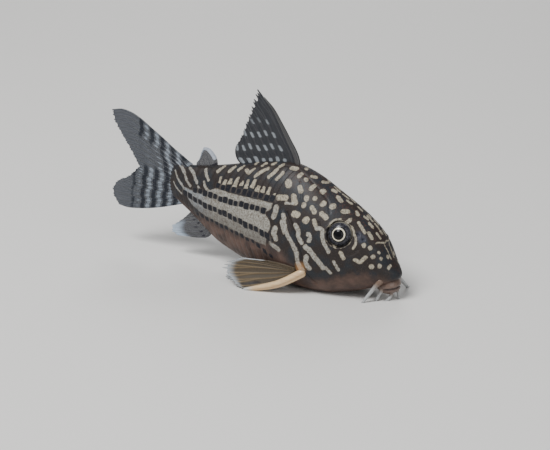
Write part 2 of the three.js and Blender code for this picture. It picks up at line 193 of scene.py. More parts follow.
@dataclass
class BodyShape:
    """The outer shape of the fish's flesh and plates, without fins, in its lowered pose."""

    back: Profile = Profile((
        (0, 0.084), (0.02, 0.110), (0.05, 0.142), (0.1, 0.219), (0.2, 0.294), (0.3, 0.345), (0.4, 0.390),
        (0.47, 0.406), (0.6, 0.388), (0.7, 0.358), (0.8, 0.327), (0.9, 0.300), (1, 0.284),
    ))
    belly: Profile = Profile((
        (0, 0.082), (0.02, 0.058), (0.05, 0.040), (0.1, 0.018), (0.2, -0.021), (0.3, -0.046),
        (0.45, -0.048), (0.6, -0.026), (0.7, -0.008), (0.8, 0.020), (0.9, 0.080), (1, 0.132),
    ))
    side: Profile = Profile((
        (0, 0.003), (0.02, 0.037), (0.05, 0.062), (0.1, 0.092), (0.2, 0.129), (0.3, 0.147), (0.38, 0.150),
        (0.5, 0.138), (0.6, 0.118), (0.7, 0.094), (0.8, 0.068), (0.9, 0.045), (1, 0.022),
    ))
    widest: Profile = Profile((
        (0, 0.083), (0.02, 0.082), (0.05, 0.085), (0.1, 0.100), (0.2, 0.122), (0.3, 0.125),
        (0.45, 0.130), (0.6, 0.145), (0.8, 0.185), (1, 0.208),
    ))
    upper_fullness: Profile = Profile(((0, 2), (0.1, 1.8), (0.25, 1.65), (0.45, 1.65), (0.6, 1.8), (1, 2)))
    lower_fullness: Profile = Profile(((0, 2), (0.1, 2.3), (0.3, 2.7), (0.5, 2.7), (0.8, 2.2), (1, 2)))
    last_station: float = 1.045
    table_rows: int = 520
    table_columns: int = 360
    angle_steps: int = 1400
    share_steps: int = 160
    end_drop: float = 0.9
    end_pinch: float = 0.98
    shift: float = field(init=False, default=0.0)
    _angles: Array = field(init=False, repr=False, default=None)
    _girths: Array = field(init=False, repr=False, default=None)

    def __post_init__(self) -> None:
        """Tabulates the section angle at even shares of the girth, for each station."""
        roots = np.linspace(0.0, math.sqrt(self.last_station), self.table_rows)[:, None]
        angle = np.linspace(math.pi / 2, -math.pi / 2, self.angle_steps)[None, :]
        _, width, height = self._section(roots**2, angle)
        steps = np.hypot(np.diff(width, axis=1), np.diff(height, axis=1))
        run = np.concatenate([np.zeros((self.table_rows, 1)), np.cumsum(steps, axis=1)], axis=1)
        shares = np.linspace(0.0, 1.0, self.table_columns)
        self._girths = run[:, -1] * LENGTH
        self._angles = np.stack([np.interp(shares, row / row[-1], angle[0]) for row in run])

    def _section(self, station: Array, angle: Array) -> tuple[Array, Array, Array]:
        """A point of the half section.

        Args:
            station: Stations along the body.
            angle: Section angles, from a right angle on the back to minus a right angle on the belly.

        Returns:
            Station, half width and height of each point.
        """
        station, angle = np.broadcast_arrays(station, angle)
        rise, reach = np.sin(angle), np.abs(np.cos(angle))
        power = 2.0 / np.where(rise > 0, self.upper_fullness(station), self.lower_fullness(station))
        middle = self.widest(station)
        end = np.clip((station - 1.0) / (self.last_station - 1.0), 0.0, 1.0)
        tall = np.where(rise > 0, self.back(station) - middle, middle - self.belly(station))
        height = middle + tall * np.sqrt(1.0 - self.end_drop * end**2) * np.sign(rise) * np.abs(rise) ** power
        return station, self.side(station) * (1.0 - self.end_pinch * end) * reach**power, height

    def girth(self, station: Array) -> Array:
        """The length in millimetres from the back's middle line down one flank to the belly's."""
        roots = np.linspace(0.0, math.sqrt(self.last_station), self.table_rows)
        return np.interp(np.sqrt(np.maximum(station, 0.0)), roots, self._girths)

    def straight(self, station: Array, around: Array) -> tuple[Array, Array, Array]:
        """A point of the surface before the pose.

        Args:
            station: Stations along the body.
            around: Places around the body, from -1 to 1.

        Returns:
            Station, width to the left and height, as shares of the body length.
        """
        station, around = np.broadcast_arrays(np.asarray(station, float), np.asarray(around, float))
        station = np.clip(station, 0.0, self.last_station)
        around = (around + 1.0) % 2.0 - 1.0
        row = np.sqrt(station / self.last_station) * (self.table_rows - 1)
        column = np.abs(around) * (self.table_columns - 1)
        r = np.minimum(row.astype(int), self.table_rows - 2)
        c = np.minimum(column.astype(int), self.table_columns - 2)
        fr, fc = row - r, column - c
        near = self._angles[r, c] * (1 - fc) + self._angles[r, c + 1] * fc
        far = self._angles[r + 1, c] * (1 - fc) + self._angles[r + 1, c + 1] * fc
        _, width, height = self._section(station, near * (1 - fr) + far * fr)
        return station, -np.sign(around) * width, height

    def place(self, station: Array, width: Array, height: Array) -> Array:
        """A fish place in the lowered pose.

        Args:
            station: Share of the body length back from the snout.
            width: Share of it to the left.
            height: Share of it up.

        Returns:
            Points in millimetres in the model's frame.
        """
        station, width, height = np.broadcast_arrays(station, width, height)
        pull = SNOUT_BLUNT * np.maximum(0.0, 1.0 - station / SNOUT_REACH) ** 2
        along, up = -(station + pull) * LENGTH, height * LENGTH
        cosine, sine = math.cos(HEAD_DOWN), math.sin(HEAD_DOWN)
        return np.stack([
            along * cosine + up * sine + self.shift,
            width * LENGTH,
            -along * sine + up * cosine + FLOOR_LIFT,
        ], axis=-1)

    def point(self, station: Array, around: Array) -> Array:
        """Points of the outer surface in millimetres in the model's frame."""
        return self.place(*self.straight(station, around))

    def normal(self, station: Array, around: Array) -> Array:
        """Unit normals of the outer surface, pointing out.

        Args:
            station: Stations along the body.
            around: Places around the body.

        Returns:
            One vector for each place.
        """
        ds, da = 0.0015, 0.004
        ahead, behind = np.maximum(np.asarray(station) - ds, 0.0), np.asarray(station) + ds
        along = self.point(behind, around) - self.point(ahead, around)
        down = self.point(station, around + da) - self.point(station, around - da)
        return unit(np.cross(along, down))

    def share_at(self, station: float, height: float) -> float:
        """The share of the girth at which the flank reaches a height.

        Args:
            station: The station along the body.
            height: The height, as a share of the body length.

        Returns:
            The share, from 0 on the back to 1 on the belly.
        """
        shares = np.linspace(0.0, 1.0, self.share_steps)
        heights = self.straight(np.full(self.share_steps, station), shares)[2]
        return float(np.interp(-height, -heights, shares))

    def fit_to_frame(self, eye: "EyePlan") -> None:
        """Finds how far the fish stands forward in the frame, from the place of the right eye.

        Args:
            eye: Where the eyes sit in the fish's own measures.
        """
        low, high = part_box("eye_right")
        own = eye.centre(self, Side.RIGHT)
        self.shift = float((low.x + high.x) / 2 / MM - own[0])


@dataclass(frozen=True)
class EyePlan:
    """Where the eyes sit and how they are turned: a ball pressed flat along its own axis."""

    station: float = 0.229
    width: float = 0.096
    height: float = 0.216
    radius: float = 2.4
    depth: float = 1.7
    sunk: float = 0.57
    forward: float = math.radians(14)
    upward: float = math.radians(16)

    def axis(self, side: Side) -> Array:
        """The direction in which the eye looks."""
        flat = math.cos(self.upward)
        return np.array([
            math.sin(self.forward) * flat,
            -side.sign * math.cos(self.forward) * flat,
            math.sin(self.upward),
        ])

    def centre(self, shape: BodyShape, side: Side) -> Array:
        """The eye's middle in millimetres."""
        place = shape.place(self.station, -side.sign * self.width, self.height)
        return place - self.sunk * self.axis(side)

    def height_at(self, radius: Array) -> Array:
        """How far the ball's front stands out of its middle plane, at a distance from its axis."""
        return self.depth * np.sqrt(np.clip(1.0 - (radius / self.radius) ** 2, 0.0, 1.0))

    def measure(self, shape: BodyShape, side: Side, points: Array) -> tuple[Array, Array]:
        """How far points stand out of an eye's middle plane, and how far they lie from its axis.

        Args:
            shape: The body.
            side: The side of the eye.
            points: Points in millimetres.

        Returns:
            Both distances in millimetres.
        """
        axis = self.axis(side)
        offset = points - self.centre(shape, side)
        out = offset @ axis
        return out, np.linalg.norm(offset - out[..., None] * axis, axis=-1)


@dataclass
class MeshMaker:
    """Gathers grids of faces with bake places and fields, and makes one piece of them."""

    name: str
    points: list[Array] = field(default_factory=list)
    faces: list[Array] = field(default_factory=list)
    places: list[Array] = field(default_factory=list)
    smooth: list[Array] = field(default_factory=list)
    fields: dict[str, list[Array]] = field(default_factory=dict)
    count: int = 0

    def add_points(self, points: Array, fields: Fields) -> Array:
        """Adds points.

        Args:
            points: Any array of points in millimetres.
            fields: A value of each named field for each point.

        Returns:
            The points' numbers, in the array's own layout.
        """
        flat = points.reshape(-1, 3)
        numbers = np.arange(len(flat)).reshape(points.shape[:-1]) + self.count
        self.points.append(flat)
        self.count += len(flat)
        for key, values in fields.items():
            spread = np.broadcast_to(values, points.shape[:-1])
            self.fields.setdefault(key, []).append(spread.reshape(-1))
        return numbers

    def add_faces(self, corners: Array, places: Array, smooth: bool = True) -> None:
        """Adds four-sided faces.

        Args:
            corners: Point numbers, four to a row.
            places: Bake places of the corners.
            smooth: Whether the faces are shaded smooth.
        """
        self.faces.append(corners.reshape(-1, 4))
        self.places.append(places.reshape(-1, 4, 2))
        self.smooth.append(np.full(corners.reshape(-1, 4).shape[0], smooth))

    def add_grid(
        self, points: Array, fields: Fields, low: Place = (0, 0), high: Place = (1, 1),
        wrap: bool = False, flip: bool = False,
    ) -> Array:
        """Adds a grid of faces.

        Args:
            points: Points by row and column.
            fields: Values of the named fields, by row and column.
            low: Lowest corner of the grid's patch of the bake map.
            high: Highest corner of it.
            wrap: Whether the last column joins the first.
            flip: Whether the faces look the other way.

        Returns:
            The points' numbers by row and column.
        """
        rows, columns = points.shape[:2]
        numbers = self.add_points(points, fields)
        spans = columns if wrap else columns - 1
        r, c = np.meshgrid(np.arange(rows - 1), np.arange(spans), indexing="ij")
        next_c = (c + 1) % columns
        corners = [(r, c, c), (r + 1, c, c), (r + 1, next_c, c + 1), (r, next_c, c + 1)]
        if flip:
            corners.reverse()
        ids = np.stack([numbers[a, b] for a, b, _ in corners], axis=-1)
        u = np.stack([a / (rows - 1) for a, _, _ in corners], axis=-1)
        v = np.stack([b / spans for _, _, b in corners], axis=-1)
        uv = np.stack([low[0] + (high[0] - low[0]) * u, low[1] + (high[1] - low[1]) * v], axis=-1)
        self.add_faces(ids, uv)
        return numbers

    def add_cap(self, ring: Array, fields: Fields, place: Place, flip: bool = False) -> None:
        """Closes a ring of points on its own middle.

        Args:
            ring: Numbers of the ring's points.
            fields: The middle point's fields.
            place: Middle of the cap's small patch of the bake map.
            flip: Whether the cap looks the other way.
        """
        flat = np.concatenate(self.points)
        middle = self.add_points(flat[ring].mean(axis=0)[None], fields)[0]
        after = np.roll(ring, -1)
        turn = np.arange(len(ring) + 1) / len(ring) * 2 * math.pi
        rim = np.stack([np.cos(turn), np.sin(turn)], axis=-1) * CAP_PATCH + np.array(place)
        centre = np.full_like(ring, middle)
        core = np.tile(place, (len(ring), 1))
        ids = np.stack([ring, after, centre, centre], axis=-1)
        uv = np.stack([rim[:-1], rim[1:], core, core], axis=1)
        if flip:
            ids, uv = ids[:, [1, 0, 2, 3]], uv[:, [1, 0, 2, 3]]
        self.add_faces(ids, uv)

    def add_tube(
        self, rings: Array, fields: Fields, high: Place = TUBE_HIGH,
        caps: tuple[Place, Place] = TUBE_CAPS, ends: tuple[Fields, Fields] | None = None, flip: bool = False,
    ) -> None:
        """Adds rings of points that are joined all round and closed at both ends.

        Args:
            rings: Points by ring and place around it.
            fields: Values of the named fields.
            high: Highest corner of the rings' patch of the bake map.
            caps: Middles of the two ends' patches of it.
            ends: The fields at the two ends' middles, or nothing for the mean of the end rings.
            flip: Whether the faces look the other way.
        """
        if ends is None:
            ends = tuple({key: v[row].mean(keepdims=True) for key, v in fields.items()} for row in (0, -1))
        ids = self.add_grid(rings, fields, TUBE_LOW, high, wrap=True, flip=flip)
        self.add_cap(ids[0], ends[0], caps[0], flip=flip)
        self.add_cap(ids[-1], ends[1], caps[1], flip=not flip)

    def add_sheet(
        self, front: Array, rear: Array, fields: Fields, low: Place = (0, 0), high: Place = (1, 1),
    ) -> None:
        """Adds a thin closed sheet: two grids with walls along their whole edge.

        Args:
            front: Points of the side that rows and columns turn towards.
            rear: Points of the other side.
            fields: Values of the named fields, the same on both sides.
            low: Lowest corner of the sheet's patch of the bake map.
            high: Highest corner of it.
        """
        gap = 0.002
        wall = 0.8 * gap
        middle = (low[0] + high[0]) / 2
        ours = ((low[0] + gap, low[1] + gap), (middle - gap, high[1] - gap))
        theirs = ((middle + gap, low[1] + gap), (high[0] - gap, high[1] - gap))
        a = self.add_grid(front, fields, *ours)
        b = self.add_grid(rear, fields, *theirs, flip=True)
        rows, columns = a.shape
        u = np.linspace(ours[0][0], ours[1][0], rows)
        v = np.linspace(ours[0][1], ours[1][1], columns)
        loop = (
            [(r, 0, -1, 0) for r in range(rows - 1)]
            + [(rows - 1, c, 0, 1) for c in range(columns - 1)]
            + [(r, columns - 1, 1, 0) for r in range(rows - 1, 0, -1)]
            + [(0, c, 0, -1) for c in range(columns - 1, 0, -1)]
        )
        ids, uv = [], []
        for k, (r, c, _, _) in enumerate(loop):
            nr, nc, _, _ = loop[(k + 1) % len(loop)]
            here, there = np.array([u[r], v[c]]), np.array([u[nr], v[nc]])
            edge = there - here
            out = np.array([edge[1], -edge[0]])
            out *= -wall / max(float(np.linalg.norm(out)), TINY)
            ids.append((a[nr, nc], a[r, c], b[r, c], b[nr, nc]))
            uv.append((there, here, here + out, there + out))
        self.add_faces(np.array(ids), np.array(uv), smooth=False)

    def make(self, material: Material, nodes: Sequence[str] = ()) -> None:
        """Makes the piece and puts it on the body.

        Args:
            material: The piece's finish.
            nodes: Solids of the frame that the piece stands for.
        """
        points = np.concatenate(self.points) * MM
        faces = np.concatenate(self.faces)
        places = np.concatenate(self.places)
        smooth = np.concatenate(self.smooth)
        is_triangle = faces[:, 2] == faces[:, 3]
        sizes = np.where(is_triangle, 3, 4)
        keep = np.ones(faces.shape, bool)
        keep[is_triangle, 3] = False
        mesh = bpy.data.meshes.new(self.name)
        mesh.vertices.add(len(points))
        mesh.vertices.foreach_set("co", points.astype(np.float32).reshape(-1))
        mesh.loops.add(int(sizes.sum()))
        mesh.loops.foreach_set("vertex_index", faces[keep].astype(np.int32))
        mesh.polygons.add(len(faces))
        mesh.polygons.foreach_set("loop_start", np.r_[0, np.cumsum(sizes)[:-1]].astype(np.int32))
        mesh.polygons.foreach_set("use_smooth", smooth)
        layer = mesh.uv_layers.new(name=BAKE_MAP)
        layer.data.foreach_set("uv", places[keep].astype(np.float32).reshape(-1))
        for key, parts in self.fields.items():
            values = np.concatenate(parts).astype(np.float32)
            mesh.attributes.new(key, "FLOAT", "POINT").data.foreach_set("value", values)
        mesh.update(calc_edges=True)
        mesh.validate()
        mesh.materials.append(material)
        piece = bpy.data.objects.new(self.name, mesh)
        bpy.context.scene.collection.objects.link(piece)
        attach(piece, BODY)
        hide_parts(*nodes)
        LOG.info("%s: %d points, %d faces", self.name, len(points), len(faces))


class Reading:
    """A shader socket. Sums on readings of numbers add Math nodes."""

    def __init__(self, graph: "Graph", socket: bpy.types.NodeSocket) -> None:
        """Keeps the socket and the graph that it belongs to."""
        self.graph = graph
        self.socket = socket

    def __add__(self, other: "Reading | float") -> "Reading":
        """This plus the other."""
        return self.graph.maths("ADD", self, other)

    def __sub__(self, other: "Reading | float") -> "Reading":
        """This less the other."""
        return self.graph.maths("SUBTRACT", self, other)

    def __rsub__(self, other: float) -> "Reading":
        """The other less this."""
        return self.graph.maths("SUBTRACT", other, self)

    def __mul__(self, other: "Reading | float") -> "Reading":
        """This times the other."""
        return self.graph.maths("MULTIPLY", self, other)

    __radd__ = __add__
    __rmul__ = __mul__


class Graph:
    """A material's node tree around one Principled shader."""

    def __init__(self, name: str) -> None:
        """Starts a material with a shader and an output.

        Args:
            name: The material's name.
        """
        self.material = bpy.data.materials.new(name)
        self.material.use_nodes = True
        self.tree = self.material.node_tree
        self.tree.nodes.clear()
        self.shader = self.tree.nodes.new("ShaderNodeBsdfPrincipled")
        output = self.tree.nodes.new("ShaderNodeOutputMaterial")
        self.tree.links.new(self.shader.outputs[0], output.inputs["Surface"])

    def node(
        self, kind: str, settings: dict[str, object], inputs: dict[str | int, object], output: int = 0,
    ) -> Reading:
        """Adds a node.

        Args:
            kind: The node's type.
            settings: Its own properties, set first.
            inputs: Values or readings for its sockets, by name or number.
            output: The number of the output that is read.

        Returns:
            The node's output.
        """
        node = self.tree.nodes.new(kind)
        for key, value in settings.items():
            setattr(node, key, value)
        for key, value in inputs.items():
            self.feed(node.inputs[key], value)
        return Reading(self, node.outputs[output])

    def feed(self, socket: bpy.types.NodeSocket, value: object) -> None:
        """Sets a socket's value, or links a reading to it.

        Args:
            socket: The socket that is fed.
            value: A reading, a number, or a colour or vector.
        """
        if isinstance(value, Reading):
            self.tree.links.new(value.socket, socket)
        elif isinstance(value, tuple) and len(value) == 3 and len(socket.default_value) == 4:
            socket.default_value = (*value, 1.0)
        else:
            socket.default_value = value

    def maths(self, operation: str, a: Reading | float, b: Reading | float) -> Reading:
        """A Math node on two readings or numbers."""
        return self.node("ShaderNodeMath", {"operation": operation}, {0: a, 1: b})

    def larger(self, a: Reading | float, b: Reading | float) -> Reading:
        """The larger of two readings."""
        return self.maths("MAXIMUM", a, b)

    def field(self, name: str) -> Reading:
        """A field of the mesh."""
        return self.node("ShaderNodeAttribute", {"attribute_name": name}, {}, 2)

    def step(self, value: Reading, low: float, high: float) -> Reading:
        """A smooth rise from 0 at low to 1 at high."""
        settings = {"interpolation_type": "SMOOTHSTEP"}
        return self.node("ShaderNodeMapRange", settings, {"Value": value, "From Min": low, "From Max": high})

    def place(self) -> Reading:
        """The piece's own coordinates."""
        return self.node("ShaderNodeTexCoord", {}, {}, 3)

    def noise(self, size: float, detail: float = 2.0, stretch: Rgb = (1.0, 1.0, 1.0)) -> Reading:
        """Soft noise.

        Args:
            size: Width of its patches in millimetres.
            detail: How many finer layers it has.
            stretch: How much closer the patches lie along each axis.

        Returns:
            A value around one half.
        """
        scale = {0: self.place(), 1: stretch}
        place = self.node("ShaderNodeVectorMath", {"operation": "MULTIPLY"}, scale)
        inputs = {"Vector": place, "Scale": 1.0 / (size * MM), "Detail": detail}
        return self.node("ShaderNodeTexNoise", {}, inputs)

    def cells(self, size: float) -> Reading:
        """The distance to the nearest of many scattered points, in cells of a size in millimetres."""
        return self.node("ShaderNodeTexVoronoi", {}, {"Vector": self.place(), "Scale": 1.0 / (size * MM)})

    def mix(self, share: Reading | float, first: Reading | Rgb, second: Reading | Rgb) -> Reading:
        """A colour between two."""
        inputs = {0: share, 6: first, 7: second}
        return self.node("ShaderNodeMix", {"data_type": "RGBA", "clamp_factor": True}, inputs, 2)

    def bump(self, height: Reading, depth: float, strength: float = 1.0) -> Reading:
        """A normal from a height reading whose full rise is a depth in millimetres."""
        inputs = {"Height": height, "Distance": depth * MM, "Strength": strength}
        return self.node("ShaderNodeBump", {}, inputs)

    def shade(self, **inputs: object) -> Material:
        """Feeds the shader's sockets, named with underscores for spaces, and gives the material."""
        for key, value in inputs.items():
            self.feed(self.shader.inputs[key.replace("_", " ")], value)
        return self.material


@dataclass(frozen=True)
class SkinFinish:
    """Wet skin and plates: dark ground, cream marks, near-black dashes and a rosy belly darkened with painted
    shade.
    """

    ground: Rgb = (0.020, 0.015, 0.014)
    ground_red: Rgb = (0.050, 0.026, 0.022)
    ground_grey: Rgb = (0.016, 0.019, 0.024)
    flank_ground: Rgb = (0.052, 0.044, 0.040)
    cream: Rgb = (0.390, 0.355, 0.275)
    cool: Rgb = (0.270, 0.296, 0.318)
    halo: Rgb = (0.120, 0.096, 0.070)
    dash: Rgb = (0.006, 0.007, 0.012)
    # The belly's rosy brown is darkened with painted shade for the underside that faces away from the light;
    # belly_dusk is its darker random patches, darkened the same way.
    belly: Rgb = (0.112, 0.068, 0.053)
    belly_dusk: Rgb = (0.050, 0.032, 0.027)
    orange: Rgb = (0.480, 0.240, 0.080)
    nostril: Rgb = (0.060, 0.066, 0.095)

    def material(self) -> Material:
        """Builds the finish."""
        g = Graph("wet_skin")
        patch = g.noise(2.6, 2.0)
        fine = g.noise(0.42, 2.0)
        grain = g.noise(0.14, 1.0)
        wobble = g.noise(0.50, 2.0) - 0.5
        ground = g.mix(g.step(patch, 0.42, 0.66), self.ground, self.ground_grey)
        ground = g.mix(g.step(fine, 0.50, 0.74) * g.field("crown"), ground, self.ground_red)
        ground = g.mix(g.field("flank"), ground, self.flank_ground)
        # The belly colours carry painted shade of the underside.
        belly = g.mix(g.step(patch, 0.35, 0.7), self.belly, self.belly_dusk)
        belly_share = g.step(g.field("belly") + wobble * 0.5, 0.05, 0.95)
        ground = g.mix(belly_share, ground, belly)
        pale = g.mix(g.field("cool"), self.cream, self.cool)
        pale = g.mix(g.step(g.noise(0.30, 3.0), 0.42, 0.68) * 0.80, pale, self.halo)
        core = g.field("pale") + wobble * 1.1
        marked = g.step(core, 0.46, 0.80)
        pale = g.mix(g.step(core, 0.62, 1.10), g.mix(0.6, pale, self.halo), pale)
        colour = g.mix(marked * g.field("clear"), ground, pale)
        dark = g.step(g.field("dark") + wobble * 0.6, 0.32, 0.62)
        colour = g.mix(dark, colour, self.dash)
        colour = g.mix(g.field("orange"), colour, self.orange)
        colour = g.mix(g.field("nostril"), colour, self.nostril)
        speck = g.step(grain, 0.58, 0.74) * 0.55
        colour = g.mix(speck, colour, g.mix(0.5, self.ground, self.halo))
        relief = g.noise(0.24, 2.0) * 0.75 + g.cells(0.30) * 0.5
        return g.shade(
            Base_Color=colour,
            Roughness=0.44 + 0.22 * fine,
            Normal=g.bump(relief, 0.050, 0.75),
            Coat_Weight=0.05,
            Coat_Roughness=0.18,
            Specular_IOR_Level=0.24,
        )


@dataclass(frozen=True)
class FinFinish:
    """A thin fin: clear web, bony rays, pale and dark spots, and a pale tip."""

    name: str
    web: Rgb
    ray: Rgb
    pale: Rgb
    dark: Rgb
    tip: Rgb
    clear: float = 0.45

    def material(self) -> Material:
        """Builds the finish."""
        g = Graph(self.name)
        rays, pale, dark, tip = g.field("ray"), g.field("pale"), g.field("dark"), g.field("tip")
        fine = g.noise(0.35, 2.0)
        wobble = (g.noise(0.5, 1.0) - 0.5) * 0.5
        colour = g.mix(rays * 0.85, self.web, self.ray)
        colour = g.mix(tip, colour, self.tip)
        spots = g.step(pale + wobble * 0.5, 0.30, 0.72)
        colour = g.mix(spots, colour, self.pale)
        blots = g.step(dark + wobble * 0.5, 0.30, 0.72)
        colour = g.mix(blots, colour, self.dark)
        colour = g.mix(g.step(fine, 0.5, 0.8) * 0.25, colour, self.dark)
        cover = g.larger(rays * 0.85, g.larger(spots * 0.9, g.larger(blots * 0.9, tip * 0.45)))
        alpha = (1.0 - self.clear) + self.clear * cover
        joints = g.field("joint")
        return g.shade(
            Base_Color=colour,
            Alpha=alpha,
            Roughness=0.34 + 0.2 * fine,
            Normal=g.bump(joints * rays + fine * 0.3, 0.035, 0.7),
            Coat_Weight=0.06,
            Coat_Roughness=0.15,
            Specular_IOR_Level=0.25,
        )


@dataclass(frozen=True)
class FleshFinish:
    """Soft bare flesh of feelers and lips, paler or darker along a field."""

    name: str
    base: Rgb
    tone: Rgb
    shadow: Rgb

    def material(self) -> Material:
        """Builds the finish."""
        g = Graph(self.name)
        fine = g.noise(0.30, 2.0)
        # On the lips the tone field is painted light: the lips are paler towards the top.
        colour = g.mix(g.field("tone"), self.base, self.tone)
        colour = g.mix(g.step(fine, 0.48, 0.78) * 0.5, colour, self.shadow)
        # On the lips the dark field is painted shade in the slit and the middle groove.
        colour = g.mix(g.field("dark"), colour, self.shadow)
        return g.shade(
            Base_Color=colour,
            Roughness=0.36 + 0.2 * fine,
            Normal=g.bump(g.noise(0.16, 2.0), 0.03, 0.6),
            Coat_Weight=0.3,
            Coat_Roughness=0.15,
        )


@dataclass(frozen=True)
class SpineFinish:
    """A stout fin spine: cream bone with orange edges."""

    bone: Rgb = (0.640, 0.470, 0.270)
    orange: Rgb = (0.430, 0.200, 0.058)
    pale: Rgb = (0.440, 0.460, 0.470)

    def material(self) -> Material:
        """Builds the finish."""
        g = Graph("spine_bone")
        fine = g.noise(0.4, 2.0, (0.25, 1.0, 1.0))
        colour = g.mix(g.field("orange"), self.bone, self.orange)
        colour = g.mix(g.step(fine, 0.45, 0.8) * 0.45, colour, self.orange)
        colour = g.mix(g.field("tip"), colour, self.pale)
        return g.shade(
            Base_Color=colour,
            Roughness=0.30 + 0.18 * fine,
            Normal=g.bump(fine, 0.03, 0.6),
            Coat_Weight=0.4,
            Coat_Roughness=0.1,
        )


@dataclass(frozen=True)
class EyeFinish:
    """A wet eye: black pupil, bright gold ring, dark iris with fine streaks, and a pale outer line."""

    pupil: Rgb = (0.002, 0.002, 0.003)
    ring: Rgb = (0.780, 0.720, 0.560)
    iris: Rgb = (0.016, 0.016, 0.020)
    streak: Rgb = (0.070, 0.070, 0.085)
    rim: Rgb = (0.200, 0.185, 0.150)

    def material(self) -> Material:
        """Builds the finish."""
        g = Graph("wet_eye")
        radius = g.field("radius")
        fine = g.noise(0.28, 3.0)
        colour = g.mix(g.step(fine, 0.42, 0.72), self.iris, self.streak)
        colour = g.mix(g.step(radius, 1.36, 1.50), self.pupil, colour)
        ringed = g.step(radius, 0.98, 1.05) * (1.0 - g.step(radius, 1.20, 1.27))
        colour = g.mix(ringed, colour, self.ring)
        colour = g.mix(g.step(radius, 2.10, 2.24) * 0.8, colour, self.rim)
        return g.shade(
            Base_Color=colour,
            Metallic=ringed * 0.25,
            Roughness=0.34,
            Normal=g.bump(fine, 0.01, 0.3),
            Coat_Weight=0.28,
            Coat_Roughness=0.03,
            Specular_IOR_Level=0.12,
        )


@dataclass(frozen=True)
class Mark:
    """A mark or fold on the right flank: a line of one or more places and its width in millimetres."""

    width: float
    path: tuple[Place, ...]

    def distance(self, shape: BodyShape, points: Array) -> Array:
        """How far points lie from the mark's edge.

        Args:
            shape: The body that carries the mark.
            points: Points on the right flank, in millimetres.

        Returns:
            The distance in millimetres, below zero inside the mark.
        """
        steps = np.linspace(0.0, 1.0, 1 if len(self.path) == 1 else STEPS_PER_POINT * len(self.path))
        line = Path(self.path)(steps)
        spine = shape.point(line[:, 0], line[:, 1])
        near = np.full(len(points), FAR)
        reach = self.width / 2 + MARK_REACH
        box = (points > spine.min(axis=0) - reach).all(axis=1)
        box &= (points < spine.max(axis=0) + reach).all(axis=1)
        picked = points[box]
        if not len(picked):
            return near
        best = np.linalg.norm(picked - spine[0], axis=1)
        for a, b in zip(spine[:-1], spine[1:]):
            span = b - a
            t = np.clip((picked - a) @ span / max(float(span @ span), TINY), 0.0, 1.0)
            best = np.minimum(best, np.linalg.norm(picked - a - t[:, None] * span, axis=1))
        near[box] = best - self.width / 2
        return near


CROWN_LINE = tuple(
    Mark(0.62, ((rear, 0.0), (front, 0.0)))
    for rear, front in ((0.317, 0.291), (0.278, 0.256), (0.213, 0.196), (0.170, 0.149), (0.137, 0.120))
)
CROWN_SPOTS = (
    Mark(1.15, ((0.486, 0.056), (0.470, 0.051))),
    Mark(0.85, ((0.436, 0.018),)),
    Mark(0.75, ((0.357, 0.035), (0.345, 0.012))),
    Mark(0.70, ((0.251, 0.028), (0.235, 0.024))),
    Mark(0.85, ((0.203, 0.058), (0.197, 0.068))),
    Mark(0.65, ((0.175, 0.038), (0.163, 0.030))),
    Mark(0.75, ((0.151, 0.056), (0.136, 0.060))),
    Mark(0.65, ((0.115, 0.072), (0.100, 0.077))),
    Mark(0.45, ((0.113, 0.010), (0.104, 0.010))),
    Mark(0.90, ((0.446, 0.094), (0.441, 0.070))),
    Mark(1.05, ((0.415, 0.088),)),
    Mark(0.80, ((0.401, 0.048), (0.388, 0.037))),
    Mark(0.90, ((0.313, 0.035), (0.303, 0.031))),
    Mark(0.95, ((0.285, 0.056), (0.268, 0.068))),
    Mark(0.95, ((0.383, 0.126), (0.377, 0.097))),
    Mark(1.05, ((0.244, 0.126), (0.231, 0.106))),
    Mark(1.40, ((0.476, 0.152), (0.470, 0.172))),
    Mark(1.05, ((0.424, 0.152), (0.415, 0.171))),
    Mark(1.15, ((0.341, 0.095), (0.338, 0.087))),
    Mark(0.95, ((0.386, 0.187), (0.384, 0.200))),
    Mark(1.05, ((0.355, 0.165),)),
    Mark(1.15, ((0.322, 0.167), (0.319, 0.157))),
    Mark(1.30, ((0.286, 0.142), (0.284, 0.136))),
    Mark(1.00, ((0.386, 0.245), (0.386, 0.237))),
    Mark(1.05, ((0.353, 0.226), (0.340, 0.242))),
    Mark(1.10, ((0.311, 0.225), (0.292, 0.234))),
    Mark(1.35, ((0.411, 0.318), (0.399, 0.314))),
    Mark(1.35, ((0.362, 0.321), (0.359, 0.312))),
    Mark(0.90, ((0.330, 0.292), (0.319, 0.318))),
    Mark(0.85, ((0.216, 0.183), (0.209, 0.150))),
    Mark(1.20, ((0.436, 0.222), (0.421, 0.252))),
    Mark(1.25, ((0.494, 0.268), (0.464, 0.252))),
)
SNOUT_SPOTS = (
    Mark(0.75, ((0.180, 0.125), (0.148, 0.168))),
    Mark(0.80, ((0.135, 0.147), (0.120, 0.165))),
    Mark(1.05, ((0.135, 0.281),)),
    Mark(1.00, ((0.113, 0.266),)),
    Mark(1.00, ((0.096, 0.334),)),
    Mark(0.80, ((0.084, 0.230),)),
    Mark(0.85, ((0.072, 0.263),)),
    Mark(0.95, ((0.059, 0.118),)),
    Mark(1.10, ((0.093, 0.454),)),
    Mark(1.00, ((0.069, 0.370),)),
    Mark(0.85, ((0.150, 0.448), (0.138, 0.454), (0.124, 0.412), (0.118, 0.384))),
    Mark(0.40, ((0.103, 0.178), (0.092, 0.110), (0.085, 0.055), (0.086, 0.0))),
    Mark(0.42, ((0.080, 0.065), (0.066, 0.060), (0.050, 0.062))),
    Mark(0.70, ((0.040, 0.200), (0.042, 0.290))),
)
ORBIT_ARCS = (
    Mark(0.42, ((0.267, 0.286), (0.267, 0.247), (0.257, 0.214), (0.239, 0.186))),
    Mark(0.55, ((0.194, 0.194), (0.172, 0.247), (0.162, 0.300), (0.166, 0.355))),
    Mark(0.40, ((0.254, 0.350), (0.242, 0.386), (0.226, 0.404))),
    Mark(0.90, ((0.204, 0.426), (0.191, 0.462))),
)
